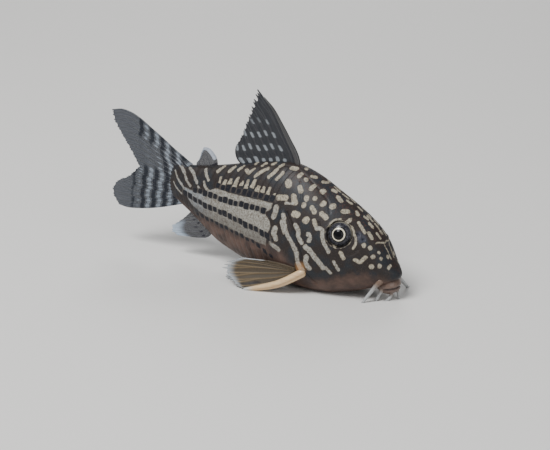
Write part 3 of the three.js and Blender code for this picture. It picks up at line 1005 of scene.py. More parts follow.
CHEEK_WORMS = (
    Mark(0.90, ((0.312, 0.328), (0.295, 0.318), (0.284, 0.359), (0.272, 0.399), (0.248, 0.447))),
    Mark(0.95, ((0.339, 0.390), (0.329, 0.400), (0.330, 0.428))),
    Mark(1.15, ((0.339, 0.476), (0.322, 0.486), (0.302, 0.512), (0.281, 0.542), (0.261, 0.578))),
    Mark(1.10, ((0.330, 0.538), (0.331, 0.584), (0.316, 0.608))),
    Mark(0.95, ((0.396, 0.378), (0.379, 0.403), (0.374, 0.438), (0.356, 0.461))),
    Mark(0.75, ((0.252, 0.574), (0.234, 0.608))),
    Mark(0.75, ((0.224, 0.511), (0.204, 0.571))),
)
SHOULDER_BAND = Mark(
    1.00,
    (
        (0.455, 0.358), (0.441, 0.405), (0.421, 0.459), (0.394, 0.498), (0.373, 0.543), (0.364, 0.600),
        (0.342, 0.645),
    ),
)
SHOULDER_MARKS = (
    Mark(1.20, ((0.493, 0.330), (0.492, 0.367), (0.496, 0.392))),
    Mark(1.30, ((0.479, 0.460), (0.480, 0.500), (0.470, 0.518))),
    Mark(0.60, ((0.459, 0.283), (0.430, 0.268))),
    Mark(0.90, ((0.457, 0.402), (0.437, 0.455))),
    Mark(1.00, ((0.493, 0.566), (0.452, 0.580))),
)
BACK_STROKES = tuple(
    Mark(width + STROKE_SWELL, path)
    for width, path in (
        (0.70, ((0.526, 0.155), (0.517, 0.130), (0.512, 0.104))),
        (0.70, ((0.564, 0.150), (0.550, 0.113), (0.543, 0.088))),
        (0.72, ((0.625, 0.150), (0.612, 0.125), (0.583, 0.085))),
        (0.68, ((0.678, 0.095), (0.659, 0.128))),
        (0.62, ((0.655, 0.118), (0.643, 0.092))),
        (0.70, ((0.713, 0.097), (0.700, 0.058))),
        (0.72, ((0.753, 0.110), (0.740, 0.060))),
        (0.68, ((0.808, 0.112), (0.799, 0.075), (0.790, 0.044))),
        (0.70, ((0.616, 0.060), (0.606, 0.037))),
        (0.65, ((0.652, 0.036), (0.648, 0.020))),
        (0.65, ((0.575, 0.045), (0.566, 0.028))),
        (0.65, ((0.538, 0.060), (0.530, 0.040))),
    )
)
TAIL_STROKES = tuple(
    Mark(width, path)
    for width, path in (
        (0.75, ((0.868, 0.086), (0.858, 0.154), (0.838, 0.222))),
        (0.78, ((0.944, 0.090), (0.921, 0.165), (0.903, 0.250), (0.892, 0.300))),
        (0.75, ((0.858, 0.260), (0.843, 0.324), (0.815, 0.366))),
        (0.68, ((0.884, 0.345), (0.868, 0.385))),
        (0.80, ((0.992, 0.060), (0.970, 0.170), (0.960, 0.215))),
        (0.72, ((0.954, 0.270), (0.945, 0.330), (0.925, 0.390))),
        (0.60, ((1.014, 0.200), (1.004, 0.300), (0.986, 0.400), (0.960, 0.490))),
        (0.50, ((1.018, 0.500), (0.998, 0.600), (0.970, 0.650))),
    )
)
FIN_SHOULDER = Mark(1.0, ((0.352, 0.630),))
NOSTRILS = Mark(1.5, ((0.160, 0.225), (0.148, 0.235)))


@dataclass
class PlateLayout:
    """How the scutes lie: two rows on each flank that meet on a line along the side."""

    shape: BodyShape
    first: float = 0.4818
    pitch: float = 0.0268
    count: int = 19
    side_line: Profile = Profile(
        ((0.40, 0.245), (0.50, 0.226), (0.62, 0.216), (0.75, 0.205), (0.90, 0.200), (1.04, 0.206))
    )
    belly_edge: Profile = Profile((
        (0.40, 0.010), (0.50, 0.0), (0.62, 0.010), (0.75, 0.024), (0.85, 0.062), (0.95, 0.120), (1.04, 0.160),
    ))
    top_share: float = 0.036
    known_from: float = 0.40
    curl: float = 0.02
    lean_below: float = 0.08
    known_rows: int = 60
    _known: Array = field(init=False, repr=False, default=None)
    _side: Array = field(init=False, repr=False, default=None)
    _low: Array = field(init=False, repr=False, default=None)

    def __post_init__(self) -> None:
        """Tabulates the girth shares of the side line and of the plates' lower ends."""
        self._known = np.linspace(self.known_from, self.shape.last_station, self.known_rows)
        self._side = np.array([self.shape.share_at(s, float(self.side_line(s))) for s in self._known])
        self._low = np.array([self.shape.share_at(s, float(self.belly_edge(s))) for s in self._known])

    def lean(self, rise: Array) -> Array:
        """How far a plate's edge leans forward at a distance above (or, below zero, under) the side line."""
        curl = self.curl * rise * rise
        return -np.where(rise > 0, curl, self.lean_below * np.abs(rise) + curl) / LENGTH

    def side_share(self, station: Array) -> Array:
        """The girth share of the side line at stations."""
        return np.interp(station, self._known, self._side)

    def belly_share(self, station: Array) -> Array:
        """The girth share of the plates' lower ends at stations."""
        return np.interp(station, self._known, self._low)

    def phase(self, station: Array, share: Array) -> Array:
        """The running number of the plate at a place, whole at each plate's front edge."""
        rise = (self.side_share(station) - share) * self.shape.girth(station)
        return (station - self.lean(rise) - self.first) / self.pitch

    def coated(self, station: Array, share: Array) -> Array:
        """How far plates cover the skin.

        Args:
            station: Stations of the places.
            share: Their girth shares.

        Returns:
            1 under the plates, falling smoothly to 0 outside them.
        """
        ahead = smooth_step(0.25, 1.0, self.phase(station, share))
        above = smooth_step(self.top_share, self.top_share + 0.02, share)
        below = 1.0 - smooth_step(0.0, 0.03, share - (self.belly_share(station) - 0.035))
        behind = 1.0 - smooth_step(0.975, 1.0, station)
        return ahead * above * below * behind


@dataclass(frozen=True)
class DashRow:
    """A row of dark dashes along the flank, one on each plate."""

    line: Profile
    long: float
    tall: float
    from_station: float
    to_station: float
    strength: float = 1.0
    corner: float = 0.26
    blur: float = 0.34
    sway: float = 0.07
    bob: float = 0.09
    variety: float = 0.13

    def cover(
        self, layout: PlateLayout, station: Array, share: Array, height: Array,
    ) -> tuple[Array, Array]:
        """Coverage of the dashes and of the dusky strip that they stand in.

        Args:
            layout: The plates' layout.
            station: Stations of the places.
            share: Their girth shares.
            height: Their heights.

        Returns:
            1 inside a dash and 0 outside, one half on its edge; and 1 along the strip's middle.
        """
        turn = layout.phase(station, share)
        index = np.floor(turn)
        along = (turn - index - 0.5) * layout.pitch * LENGTH + self.sway * np.sin(index * 3.1 + self.tall)
        across = (height - self.line(station)) * LENGTH + self.bob * np.sin(index * 2.4 + self.long * 9.0)
        size = 1.0 + self.variety * np.sin(index * 1.7 + self.tall * 5.0)
        dx = np.abs(along) - (self.long * size / 2 - self.corner)
        dy = np.abs(across) - (self.tall * size / 2 - self.corner)
        outside = np.hypot(np.maximum(dx, 0), np.maximum(dy, 0)) + np.minimum(np.maximum(dx, dy), 0)
        outside = outside - self.corner
        row = smooth_step(self.from_station - 0.006, self.from_station, station)
        row = row * (1 - smooth_step(self.to_station, self.to_station + 0.01, station)) * self.strength
        strip = 1 - smooth_step(self.tall * 0.36, self.tall * 0.60, np.abs(across))
        return np.clip(0.5 - outside / self.blur, 0, 1) * row, strip * row


@dataclass
class Markings:
    """The pattern of the living fish, the same on skin and plates and on both flanks."""

    shape: BodyShape
    layout: PlateLayout
    softness: float = 0.34
    hook_reach: float = 0.022
    bay_depth: float = 0.012
    band_front: float = 0.512
    band_rear: float = 0.962
    band_tip: float = 0.198
    band_taper: float = 0.9
    tooth_top: float = 0.176
    tooth_foot: float = 0.250
    tooth_half: float = 0.30
    band_upper: Profile = Profile((
        (0.40, 0.275), (0.50, 0.272), (0.62, 0.262), (0.72, 0.252), (0.80, 0.245), (0.84, 0.222),
        (1.04, 0.212),
    ))
    band_lower: Profile = Profile((
        (0.40, 0.100), (0.50, 0.107), (0.62, 0.110), (0.72, 0.116), (0.85, 0.124), (0.95, 0.154),
        (1.04, 0.16),
    ))
    belly_line: Profile = Profile((
        (0, 0.060), (0.06, 0.076), (0.11, 0.090), (0.178, 0.070), (0.27, 0.036), (0.35, 0.030),
        (0.40, 0.075), (0.45, 0.105), (0.50, 0.108), (0.56, 0.104), (0.62, 0.100), (0.75, 0.098),
        (0.90, 0.112), (1.04, 0.145),
    ))
    dashes: tuple[DashRow, ...] = (
        DashRow(
            Profile((
                (0.40, 0.284), (0.50, 0.286), (0.62, 0.276), (0.72, 0.266), (0.80, 0.258), (1.04, 0.24),
            )),
            1.00, 1.04, 0.50, 0.79,
        ),
        DashRow(
            Profile((
                (0.40, 0.243), (0.54, 0.236), (0.62, 0.230), (0.72, 0.219), (0.85, 0.214), (1.04, 0.202),
            )),
            0.98, 1.10, 0.535, 0.905,
        ),
        DashRow(
            Profile((
                (0.40, 0.120), (0.48, 0.136), (0.53, 0.152), (0.62, 0.159), (0.72, 0.166), (0.85, 0.167),
                (0.95, 0.182), (1.04, 0.19),
            )),
            1.00, 1.10, 0.485, 0.962,
        ),
        DashRow(
            Profile((
                (0.40, 0.050), (0.50, 0.078), (0.56, 0.100), (0.62, 0.106), (0.72, 0.111), (1.04, 0.115),
            )),
            0.90, 0.76, 0.47, 0.90, 0.80,
        ),
    )

    def _marks(self, marks: Sequence[Mark], points: Array) -> Array:
        """Coverage of marks at points.

        Args:
            marks: The marks.
            points: Points on the right flank, in millimetres.

        Returns:
            1 inside, 0 outside and one half on the edge.
        """
        near = np.full(len(points), FAR)
        for mark in marks:
            near = np.minimum(near, mark.distance(self.shape, points))
        return np.clip(0.5 - near / self.softness, 0, 1)

    def _teeth(self, station: Array, share: Array) -> Array:
        """Coverage of the row of pale teeth above the uppermost dashes, wider at their lower ends.

        Args:
            station: Stations of the places.
            share: Their girth shares.

        Returns:
            1 inside a tooth and 0 outside, one half on its edge.
        """
        turn = self.layout.phase(station, share)
        index = np.floor(turn)
        along = (turn - index - 0.5) * self.layout.pitch * LENGTH
        lower = smooth_step(0.66, 0.52, station)
        top = self.tooth_top + 0.018 * np.sin(index * 2.1) + 0.055 * lower
        foot = self.tooth_foot + 0.010 * np.sin(index * 3.3) + 0.028 * lower
        down = np.clip((share - top) / (foot - top), 0, 1)
        along = along - (0.16 * np.sin(index * 4.3) + 0.12) * (1 - down)
        half = self.tooth_half + 0.30 * down + 0.07 * np.sin(index * 5.1)
        girth = self.shape.girth(station)
        outside = np.maximum.reduce([np.abs(along) - half, (top - share) * girth, (share - foot) * girth])
        inside_row = smooth_step(0.505, 0.509, station) * (1 - smooth_step(0.785, 0.790, station))
        return np.clip(0.5 - outside / self.softness, 0, 1) * inside_row

    def _band(self, station: Array, height: Array) -> Array:
        """Coverage of the pale field along the flank, in which the dashes stand.

        Args:
            station: Stations of the places.
            height: Their heights.

        Returns:
            1 inside the field and 0 outside, one half on its edge.
        """
        hook = self.hook_reach * np.exp(-(((height - 0.228) / 0.014) ** 2))
        bay = self.bay_depth * np.exp(-(((height - 0.185) / 0.02) ** 2))
        front = self.band_front + (hook - bay) - station
        sides = np.maximum(height - self.band_upper(station), self.band_lower(station) - height)
        rear = station - self.band_rear + self.band_taper * np.abs(height - self.band_tip)
        return np.clip(0.5 - np.maximum.reduce([front, sides, rear]) * LENGTH / self.softness, 0, 1)

    def fields(self, station: Array, around: Array) -> Fields:
        """The pattern's fields at places on the body.

        Args:
            station: Stations.
            around: Places around the body.

        Returns:
            Values from 0 to 1 by field name, in the layout of the arguments.
        """
        station, around = np.broadcast_arrays(np.asarray(station, float), np.asarray(around, float))
        layout = station.shape
        station, share = station.reshape(-1), np.abs((around.reshape(-1) + 1) % 2 - 1)
        points = self.shape.point(station, share)
        height = self.shape.straight(station, share)[2]
        spots = self._marks(CROWN_LINE + CROWN_SPOTS + SNOUT_SPOTS + ORBIT_ARCS, points)
        worms = self._marks(CHEEK_WORMS + (SHOULDER_BAND,) + SHOULDER_MARKS, points)
        strokes = self._marks(BACK_STROKES + TAIL_STROKES, points)
        band = self._band(station, height)
        pale = np.maximum.reduce([spots, worms, strokes, self._teeth(station, share), band])
        dark, strip = np.zeros_like(pale), np.zeros_like(pale)
        for row in self.dashes:
            dashes, dusk = row.cover(self.layout, station, share, height)
            dark, strip = np.maximum(dark, dashes), np.maximum(strip, dusk)
        flank = np.maximum(0.85 * band, strip)
        # Where the belly colour, darkened with painted shade, takes over from the flank.
        belly = np.clip(0.5 - (height - self.belly_line(station)) / 0.055, 0, 1)
        low_band = smooth_step(0.165, 0.140, height) * smooth_step(0.48, 0.50, station)
        clear = (1.0 - 0.45 * low_band) * (1.0 - 0.70 * strip) * (1.0 - 0.5 * belly) * (1.0 - 0.12 * band)
        crown = smooth_step(0.24, 0.10, share) * smooth_step(0.56, 0.44, station)
        cool = np.clip(0.45 * band + 0.45 * worms + 0.6 * smooth_step(0.78, 0.90, station), 0, 1)
        orange_near = FIN_SHOULDER.distance(self.shape, points)
        orange = 0.75 * np.clip(0.6 - orange_near / 1.6, 0, 1)
        nose_near = NOSTRILS.distance(self.shape, points)
        nostril = 0.6 * np.clip(0.5 - nose_near / 0.7, 0, 1) * (1 - spots)
        found = {
            "pale": pale, "dark": dark, "flank": flank, "belly": belly, "clear": clear, "crown": crown,
            "cool": cool, "orange": orange, "nostril": nostril,
        }
        return {key: value.reshape(layout) for key, value in found.items()}


@dataclass(frozen=True)
class Fold:
    """A ridge or groove of the head: its line, how far it lifts the skin and how wide it spreads."""

    lift: float
    spread: float
    path: tuple[Place, ...]

    def height(self, shape: BodyShape, points: Array) -> Array:
        """How far the fold lifts the skin at points on the right flank, in millimetres."""
        near = Mark(0.0, self.path).distance(shape, points)
        return self.lift * np.exp(-((near / self.spread) ** 2))


HEAD_FOLDS = (
    Fold(-0.34, 0.24, (
        (0.446, 0.335), (0.414, 0.387), (0.390, 0.452), (0.364, 0.513), (0.348, 0.584), (0.330, 0.660),
        (0.290, 0.730),
    )),
    Fold(0.14, 0.36, (
        (0.425, 0.340), (0.397, 0.387), (0.373, 0.445), (0.347, 0.505), (0.331, 0.580), (0.314, 0.650),
    )),
    Fold(0.16, 0.40, ((0.462, 0.350), (0.433, 0.405), (0.410, 0.465), (0.385, 0.515), (0.366, 0.580))),
    Fold(-0.13, 0.22, (
        (0.312, 0.290), (0.288, 0.345), (0.276, 0.400), (0.258, 0.460), (0.240, 0.540), (0.215, 0.590),
    )),
    Fold(-0.10, 0.20, ((0.350, 0.500), (0.310, 0.555), (0.270, 0.610))),
    Fold(-0.08, 0.22, ((0.205, 0.445), (0.170, 0.420), (0.150, 0.350))),
    Fold(0.13, 0.26, ((0.108, 0.190), (0.095, 0.125), (0.087, 0.055), (0.087, 0.0))),
    Fold(-0.10, 0.30, ((0.096, 0.190), (0.080, 0.110), (0.073, 0.0))),
    Fold(-0.42, 0.26, ((0.166, 0.222),)),
    Fold(-0.42, 0.24, ((0.143, 0.236),)),
    Fold(0.20, 0.20, ((0.158, 0.205), (0.152, 0.240))),
    Fold(-0.07, 0.40, ((0.300, 0.0), (0.180, 0.0))),
    Fold(-0.07, 0.22, ((0.450, 0.055), (0.380, 0.085), (0.310, 0.125), (0.285, 0.190))),
    Fold(-0.07, 0.22, ((0.430, 0.120), (0.405, 0.200), (0.400, 0.290))),
    Fold(0.30, 1.10, ((0.350, 0.640),)),
)


@dataclass
class Skin:
    """One seamless skin over the whole body, lying deeper where plates cover it."""

    shape: BodyShape
    markings: Markings
    eye: EyePlan
    rows: int = 430
    columns: int = 400
    bare_depth: float = 0.03
    coat_depth: float = 0.22
    first_normal: float = 0.0004
    floor_gap: float = 0.02
    eye_sink: float = 0.45
    eye_behind: float = -1.0
    socket_radius: float = 2.30
    socket_inset: float = 0.06
    socket_fade: float = 0.12
    lid_height: float = 0.14
    lid_radius: float = 2.56
    lid_spread: float = 0.17
    line_strength: float = 0.66
    line_spread: float = 0.13
    fine_steps: int = 6000
    patch_high: Place = (0.98, 0.98)
    patch_caps: tuple[Place, Place] = ((0.992, 0.75), (0.992, 0.25))

    def stations(self) -> Array:
        """Works out where the rings stand.

        Returns:
            Their stations, about evenly far apart on the surface.
        """
        root = np.linspace(0.0, math.sqrt(self.shape.last_station), self.fine_steps)
        station = root**2
        curves = [p(station) for p in (self.shape.back, self.shape.belly, self.shape.side)]
        climb = np.max([np.abs(np.diff(c)) for c in curves], axis=0)
        run = np.r_[0.0, np.cumsum(np.hypot(np.diff(station), climb))]
        return np.interp(np.linspace(0.0, run[-1], self.rows), run, station)

    def build(self, material: Material) -> None:
        """Makes the skin, which stands for all the pieces of flesh.

        Args:
            material: The wet skin's finish.
        """
        station = self.stations()[:, None]
        around = (np.arange(self.columns)[None, :] * 2 / self.columns) - 1.0
        station, around = np.broadcast_arrays(station, around)
        base = self.shape.point(station, around)
        normal = self.shape.normal(np.maximum(station, self.first_normal), around)
        fields = self.markings.fields(station, around)
        for side in Side:
            fields["pale"] = np.maximum(fields["pale"], self.line_round_eye(base, side))
        coat = self.markings.layout.coated(station.reshape(-1), np.abs(around).reshape(-1))
        depth = self.bare_depth + (self.coat_depth - self.bare_depth) * coat.reshape(station.shape)
        flat = self.shape.point(station, np.abs(around)).reshape(-1, 3)
        lift = sum(fold.height(self.shape, flat) for fold in HEAD_FOLDS).reshape(station.shape)
        points = base + normal * (lift - depth)[..., None]
        for side in Side:
            points = self.seat_eye(points, side)
        points[..., 2] = np.maximum(points[..., 2], self.floor_gap)
        maker = MeshMaker("skin")
        maker.add_tube(points, fields, self.patch_high, self.patch_caps)
        nodes = ("head", "gill_cover_right", "gill_cover_left", "trunk_front", "trunk_rear", "tail_base")
        maker.make(material, nodes)

    def line_round_eye(self, points: Array, side: Side) -> Array:
        """Coverage of the faint pale line on the fold around an eye.

        Args:
            points: Points of the body's surface.
            side: The side of the eye.

        Returns:
            Values from 0 to the line's strength.
        """
        out, radius = self.eye.measure(self.shape, side, points)
        line = np.exp(-(((radius - self.lid_radius) / self.line_spread) ** 2))
        return self.line_strength * line * (out > self.eye_behind)

    def seat_eye(self, points: Array, side: Side) -> Array:
        """Sinks the skin under an eye and raises the thin fold around it.

        Args:
            points: The skin's points.
            side: The side of the eye.

        Returns:
            The changed points.
        """
        out, radius = self.eye.measure(self.shape, side, points)
        facing = out > self.eye_behind
        sunk = self.eye.height_at(radius) - self.eye_sink
        low, high = self.socket_radius - self.socket_inset, self.socket_radius + self.socket_fade
        inside = (1.0 - smooth_step(low, high, radius)) * facing
        target = np.where(inside > 0, out * (1 - inside) + np.minimum(sunk, out) * inside, out)
        lid = self.lid_height * np.exp(-(((radius - self.lid_radius) / self.lid_spread) ** 2)) * facing
        return points + (target - out + lid)[..., None] * self.eye.axis(side)


@dataclass
class ScuteRow:
    """One row of overlapping scutes on one flank, above or below the side line."""

    shape: BodyShape
    markings: Markings
    side: Side
    upper: bool
    cells_along: int = 12
    cells_down: int = 60
    overlap: float = 0.30
    thick: float = 0.075
    front_depth: float = 0.150
    end_drop: float = 0.055
    rear_drop: float = 0.02
    first_tuck: float = 0.10
    back_tuck: float = 0.15
    belly_tuck: float = 0.16
    bulge: float = 0.16
    lap_above: float = 0.002
    lap_below: float = 0.006
    first_station: float = 0.3
    last_station: float = 1.03

    def build(self, material: Material) -> None:
        """Makes the row as one piece.

        Args:
            material: The wet skin's finish.
        """
        layout = self.markings.layout
        word = "upper" if self.upper else "lower"
        maker = MeshMaker(f"scutes_{word}_{self.side.word}")
        a = np.linspace(0.0, 1.0, self.cells_along + 1)[:, None]
        b = np.linspace(0.0, 1.0, self.cells_down + 1)[None, :]
        for number in range(layout.count):
            station, share = self.outline(number, a, b)
            around = share * self.side.sign
            normal = self.shape.normal(station, around)
            base = self.shape.point(station, around)
            ends = np.minimum(smooth_step(0.0, 0.05, b), smooth_step(1.0, 0.95, b))
            if self.upper:
                tuck = self.back_tuck * (1.0 - smooth_step(0.0, 0.06, b))
            else:
                tuck = self.belly_tuck * (1.0 - smooth_step(1.0, 0.90, b))
            first = self.first_tuck * (1.0 - smooth_step(0.0, 0.5, a)) if number == 0 else 0.0
            swell = self.front_depth * (1.0 - smooth_step(0.0, 0.85, a))
            hem = self.rear_drop * smooth_step(0.92, 1.0, a)
            outer = -swell - self.end_drop * (1.0 - ends) - tuck - first - hem
            inner = outer - self.thick
            front = base + normal * outer[..., None]
            rear = base + normal * inner[..., None]
            fields = self.markings.fields(station, around)
            if self.side is Side.LEFT:
                front, rear = front[:, ::-1], rear[:, ::-1]
                fields = {key: values[:, ::-1] for key, values in fields.items()}
            low = (number / layout.count, 0.0)
            high = ((number + 1) / layout.count, 1.0)
            maker.add_sheet(front, rear, fields, low, high)
        maker.make(material)

    def outline(self, number: int, a: Array, b: Array) -> tuple[Array, Array]:
        """Places of one plate.

        Args:
            number: The plate's number from the head.
            a: Shares from its front edge, under the plate before it, to its rear edge.
            b: Shares down the plate.

        Returns:
            Stations and girth shares by row and column.
        """
        layout = self.markings.layout
        start = layout.first + number * layout.pitch
        middle = min(start + layout.pitch / 2, 1.0)
        side_share = float(layout.side_share(middle))
        low_share = float(layout.belly_share(middle))
        if self.upper:
            top, bottom = layout.top_share, side_share + self.lap_below
        else:
            top, bottom = side_share - self.lap_above, low_share
        share = top + (bottom - top) * b
        rise = (side_share - share) * float(self.shape.girth(middle))
        curve = self.bulge * 4 * b * (1 - b) * layout.pitch
        along = -self.overlap + (1.0 + self.overlap) * a
        station = start + along * layout.pitch + layout.lean(rise) + curve * a
        return np.broadcast_arrays(np.clip(station, self.first_station, self.last_station), share)


def ray_number(u: Array, rays: int) -> Array:
    """The number of the ray at shares across a fin, from 0 at its leading edge."""
    return np.floor(np.minimum(u * rays, rays - BARELY))


def ray_ridge(u: Array, t: Array, rays: int, split: float = 0.22) -> Array:
    """How near a place on a fin is to a ray, where each ray forks in two towards its tip.

    Args:
        u: Shares across the fin, from its leading edge.
        t: Shares from the root to the ray tips.
        rays: How many rays there are.
        split: How far the two branches part, in ray spacings.

    Returns:
        1 on a ray, falling to 0 between rays.
    """
    across = u * rays - ray_number(u, rays) - 0.5
    part = split * smooth_step(0.42, 0.95, t)
    width = 0.13 - 0.03 * t
    return np.maximum(np.exp(-(((across - part) / width) ** 2)), np.exp(-(((across + part) / width) ** 2)))


@dataclass
class FinLobe:
    """A flat lobe of a fin on the middle line, between four edges of station and height."""

    leading: tuple[Place, ...]
    fringe: tuple[Place, ...]
    inner: tuple[Place, ...]
    base: tuple[Place, ...]
    rays: int
    columns: int

    def grid(self, rows: int, notch: float) -> tuple[Array, Array, Array]:
        """Lays a grid between the four edges.

        Args:
            rows: Points from the root to the tips.
            notch: How far the web draws in between ray tips, as a share of a ray.

        Returns:
            Places by row and column, and each one's share across the lobe and out along it.
        """
        t = np.linspace(0.0, 1.0, rows)[:, None]
        u = np.linspace(0.0, 1.0, self.columns)[None, :]
        t, u = np.broadcast_arrays(t, u)
        ridge = ray_ridge(u, np.ones_like(u), self.rays, 0.16)
        ragged = 1.0 - notch * (1.0 - ridge) - 0.35 * notch * (np.sin(u * 61.0) * 0.5 + 0.5)
        out = t * np.where(u > 0.02, ragged, 1.0)
        lead, inner = Path(self.leading)(out), Path(self.inner)(out)
        base, tips = Path(self.base)(u), Path(self.fringe)(u)
        ends = (self.leading[0], self.inner[0], self.leading[-1], self.inner[-1])
        corner = [np.array(p, float) for p in ends]
        a, b = u[..., None], out[..., None]
        ruled = (1 - a) * lead + a * inner + (1 - b) * base + b * tips
        flat = (1 - b) * ((1 - a) * corner[0] + a * corner[1]) + b * ((1 - a) * corner[2] + a * corner[3])
        return ruled - flat, u, out


class FinPattern(Enum):
    """How a fin is marked."""

    DORSAL = "dorsal"
    TAIL = "tail"
    ANAL = "anal"
    ADIPOSE = "adipose"
    PECTORAL = "pectoral"
    PELVIC = "pelvic"


@dataclass
class FinMarks:
    """The marks of one kind of fin."""

    pattern: FinPattern
    rays: int

    def fields(self, u: Array, t: Array, station: Array, height: Array) -> Fields:
        """The fields of a fin's finish.

        Args:
            u: Shares across the fin.
            t: Shares out along the rays.
            station: Stations of the places.
            height: Their heights.

        Returns:
            Values from 0 to 1 by field name.
        """
        ridge = ray_ridge(u, t, self.rays)
        number = ray_number(u, self.rays)
        joint = 0.5 + 0.5 * np.sin(t * 150.0)
        pale, dark, tip = np.zeros_like(ridge), np.zeros_like(ridge), np.zeros_like(ridge)
        if self.pattern is FinPattern.DORSAL:
            level = height - 0.225 * (0.62 - station) - 0.385
            wave = np.cos(2 * math.pi * (level / 0.052 + 0.08 * np.sin(number * 2.2)))
            thin = np.exp(-(((u * self.rays) % 1.0 - 0.5) / 0.30) ** 2)
            fade = np.interp(level, (0.0, 0.02, 0.05, 0.11, 0.17, 0.21), (1.0, 0.90, 0.75, 0.72, 0.50, 0.0))
            pale = smooth_step(-0.45, 0.55, wave) * thin * fade * smooth_step(0.06, 0.14, u)
            dark = smooth_step(0.0, 0.9, -wave) * 0.4 * smooth_step(0.24, 0.14, level)
            tip = smooth_step(0.95, 1.0, t) * 0.3
        elif self.pattern is FinPattern.TAIL:
            slope = 0.030 * smooth_step(0.22, 0.32, height) + 0.008 * smooth_step(0.22, 0.10, height)
            wave = np.cos(2 * math.pi * (station - 1.058 - slope + 0.004 * np.sin(number * 1.9)) / 0.0512)
            upper = smooth_step(0.22, 0.25, height)
            broken = 1.0 - 0.55 * upper * smooth_step(0.80, 0.55, 1.0 - u) * smooth_step(1.06, 1.12, station)
            solid = smooth_step(1.26, 1.19, station) * broken
            dark = smooth_step(0.0, 0.7, wave) * (0.75 + 0.25 * ridge) * solid
            stripes = 0.55 + 0.45 * ridge
            pale = smooth_step(0.0, 0.7, -wave) * stripes * smooth_step(1.25, 1.13, station) * broken
            tip = smooth_step(1.20, 1.30, station) * 0.5
        elif self.pattern is FinPattern.ANAL:
            wave = np.cos(2 * math.pi * (t * 3.4 + 0.2 * np.sin(number * 2.6)))
            dark = smooth_step(0.3, 0.9, wave) * smooth_step(0.75, 0.35, t) * (0.4 + 0.6 * ridge)
            tip = smooth_step(0.62, 0.85, t) * smooth_step(0.75, 0.35, u)
        elif self.pattern is FinPattern.ADIPOSE:
            pale = smooth_step(0.20, 0.10, u) * smooth_step(0.25, 0.45, t)
            dark = smooth_step(0.30, 0.15, t) * smooth_step(0.5, 0.2, u)
            tip = smooth_step(0.90, 0.97, t) * 0.6
        elif self.pattern is FinPattern.PECTORAL:
            # The dark between the inner rays towards their tips is painted shade in the gaps between the
            # rays.
            between = 1.0 - ridge
            inner = smooth_step(0.66, 0.74, u) * smooth_step(0.97, 0.90, u)
            dark = inner * between * smooth_step(0.52, 0.62, t) * smooth_step(0.93, 0.84, t)
            outer = smooth_step(0.22, 0.08, u) * between * smooth_step(0.45, 0.6, t)
            dark = np.maximum(dark, outer * 0.7 * smooth_step(0.95, 0.8, t))
            tip = smooth_step(0.80, 0.95, t + 0.04 * np.sin(number * 3.1))
            pale = smooth_step(0.50, 0.85, t) * ridge * 0.45
        else:
            tip = smooth_step(0.70, 0.95, t) * 0.8
            dark = smooth_step(0.35, 0.15, t) * (1 - ridge) * 0.3
        return {"ray": ridge, "joint": joint * ridge, "pale": pale, "dark": dark, "tip": tip}


@dataclass
class MedianFin:
    """A fin on the middle line: one or more lobes side by side in one thin web."""

    name: str
    shape: BodyShape
    marks: FinMarks
    lobes: tuple[FinLobe, ...]
    nodes: tuple[str, ...]
    rows: int = 70
    notch: float = 0.05
    web: float = 0.05
    ray: float = 0.13
    root_extra: float = 0.10

    def build(self, material: Material) -> None:
        """Makes the fin.

        Args:
            material: The fin's finish.
        """
        parts = []
        for k, lobe in enumerate(self.lobes):
            places, u, t = lobe.grid(self.rows, self.notch)
            fields = self.marks.fields(u, t, places[..., 0], places[..., 1])
            edge = np.exp(-((u / 0.03) ** 2))
            half = self.web + (self.ray * fields["ray"] + self.ray * edge) * (1 - 0.55 * t)
            half = half + self.root_extra * smooth_step(0.30, 0.0, t) ** 2
            if k % 2:
                places, half = places[:, ::-1], half[:, ::-1]
                fields = {key: values[:, ::-1] for key, values in fields.items()}
            keep = slice(None) if k == 0 else slice(1, None)
            parts.append((places[:, keep], half[:, keep], {key: v[:, keep] for key, v in fields.items()}))
        places = np.concatenate([p[0] for p in parts], axis=1)
        half = np.concatenate([p[1] for p in parts], axis=1) / LENGTH
        fields = {key: np.concatenate([p[2][key] for p in parts], axis=1) for key in parts[0][2]}
        right = self.shape.place(places[..., 0], -half, places[..., 1])
        left = self.shape.place(places[..., 0], half, places[..., 1])
        turn = np.cross(places[-1, 0] - places[0, 0], places[0, -1] - places[0, 0])
        front, rear = (right, left) if turn < 0 else (left, right)
        maker = MeshMaker(self.name)
        maker.add_sheet(front, rear, fields)
        maker.make(material, self.nodes)


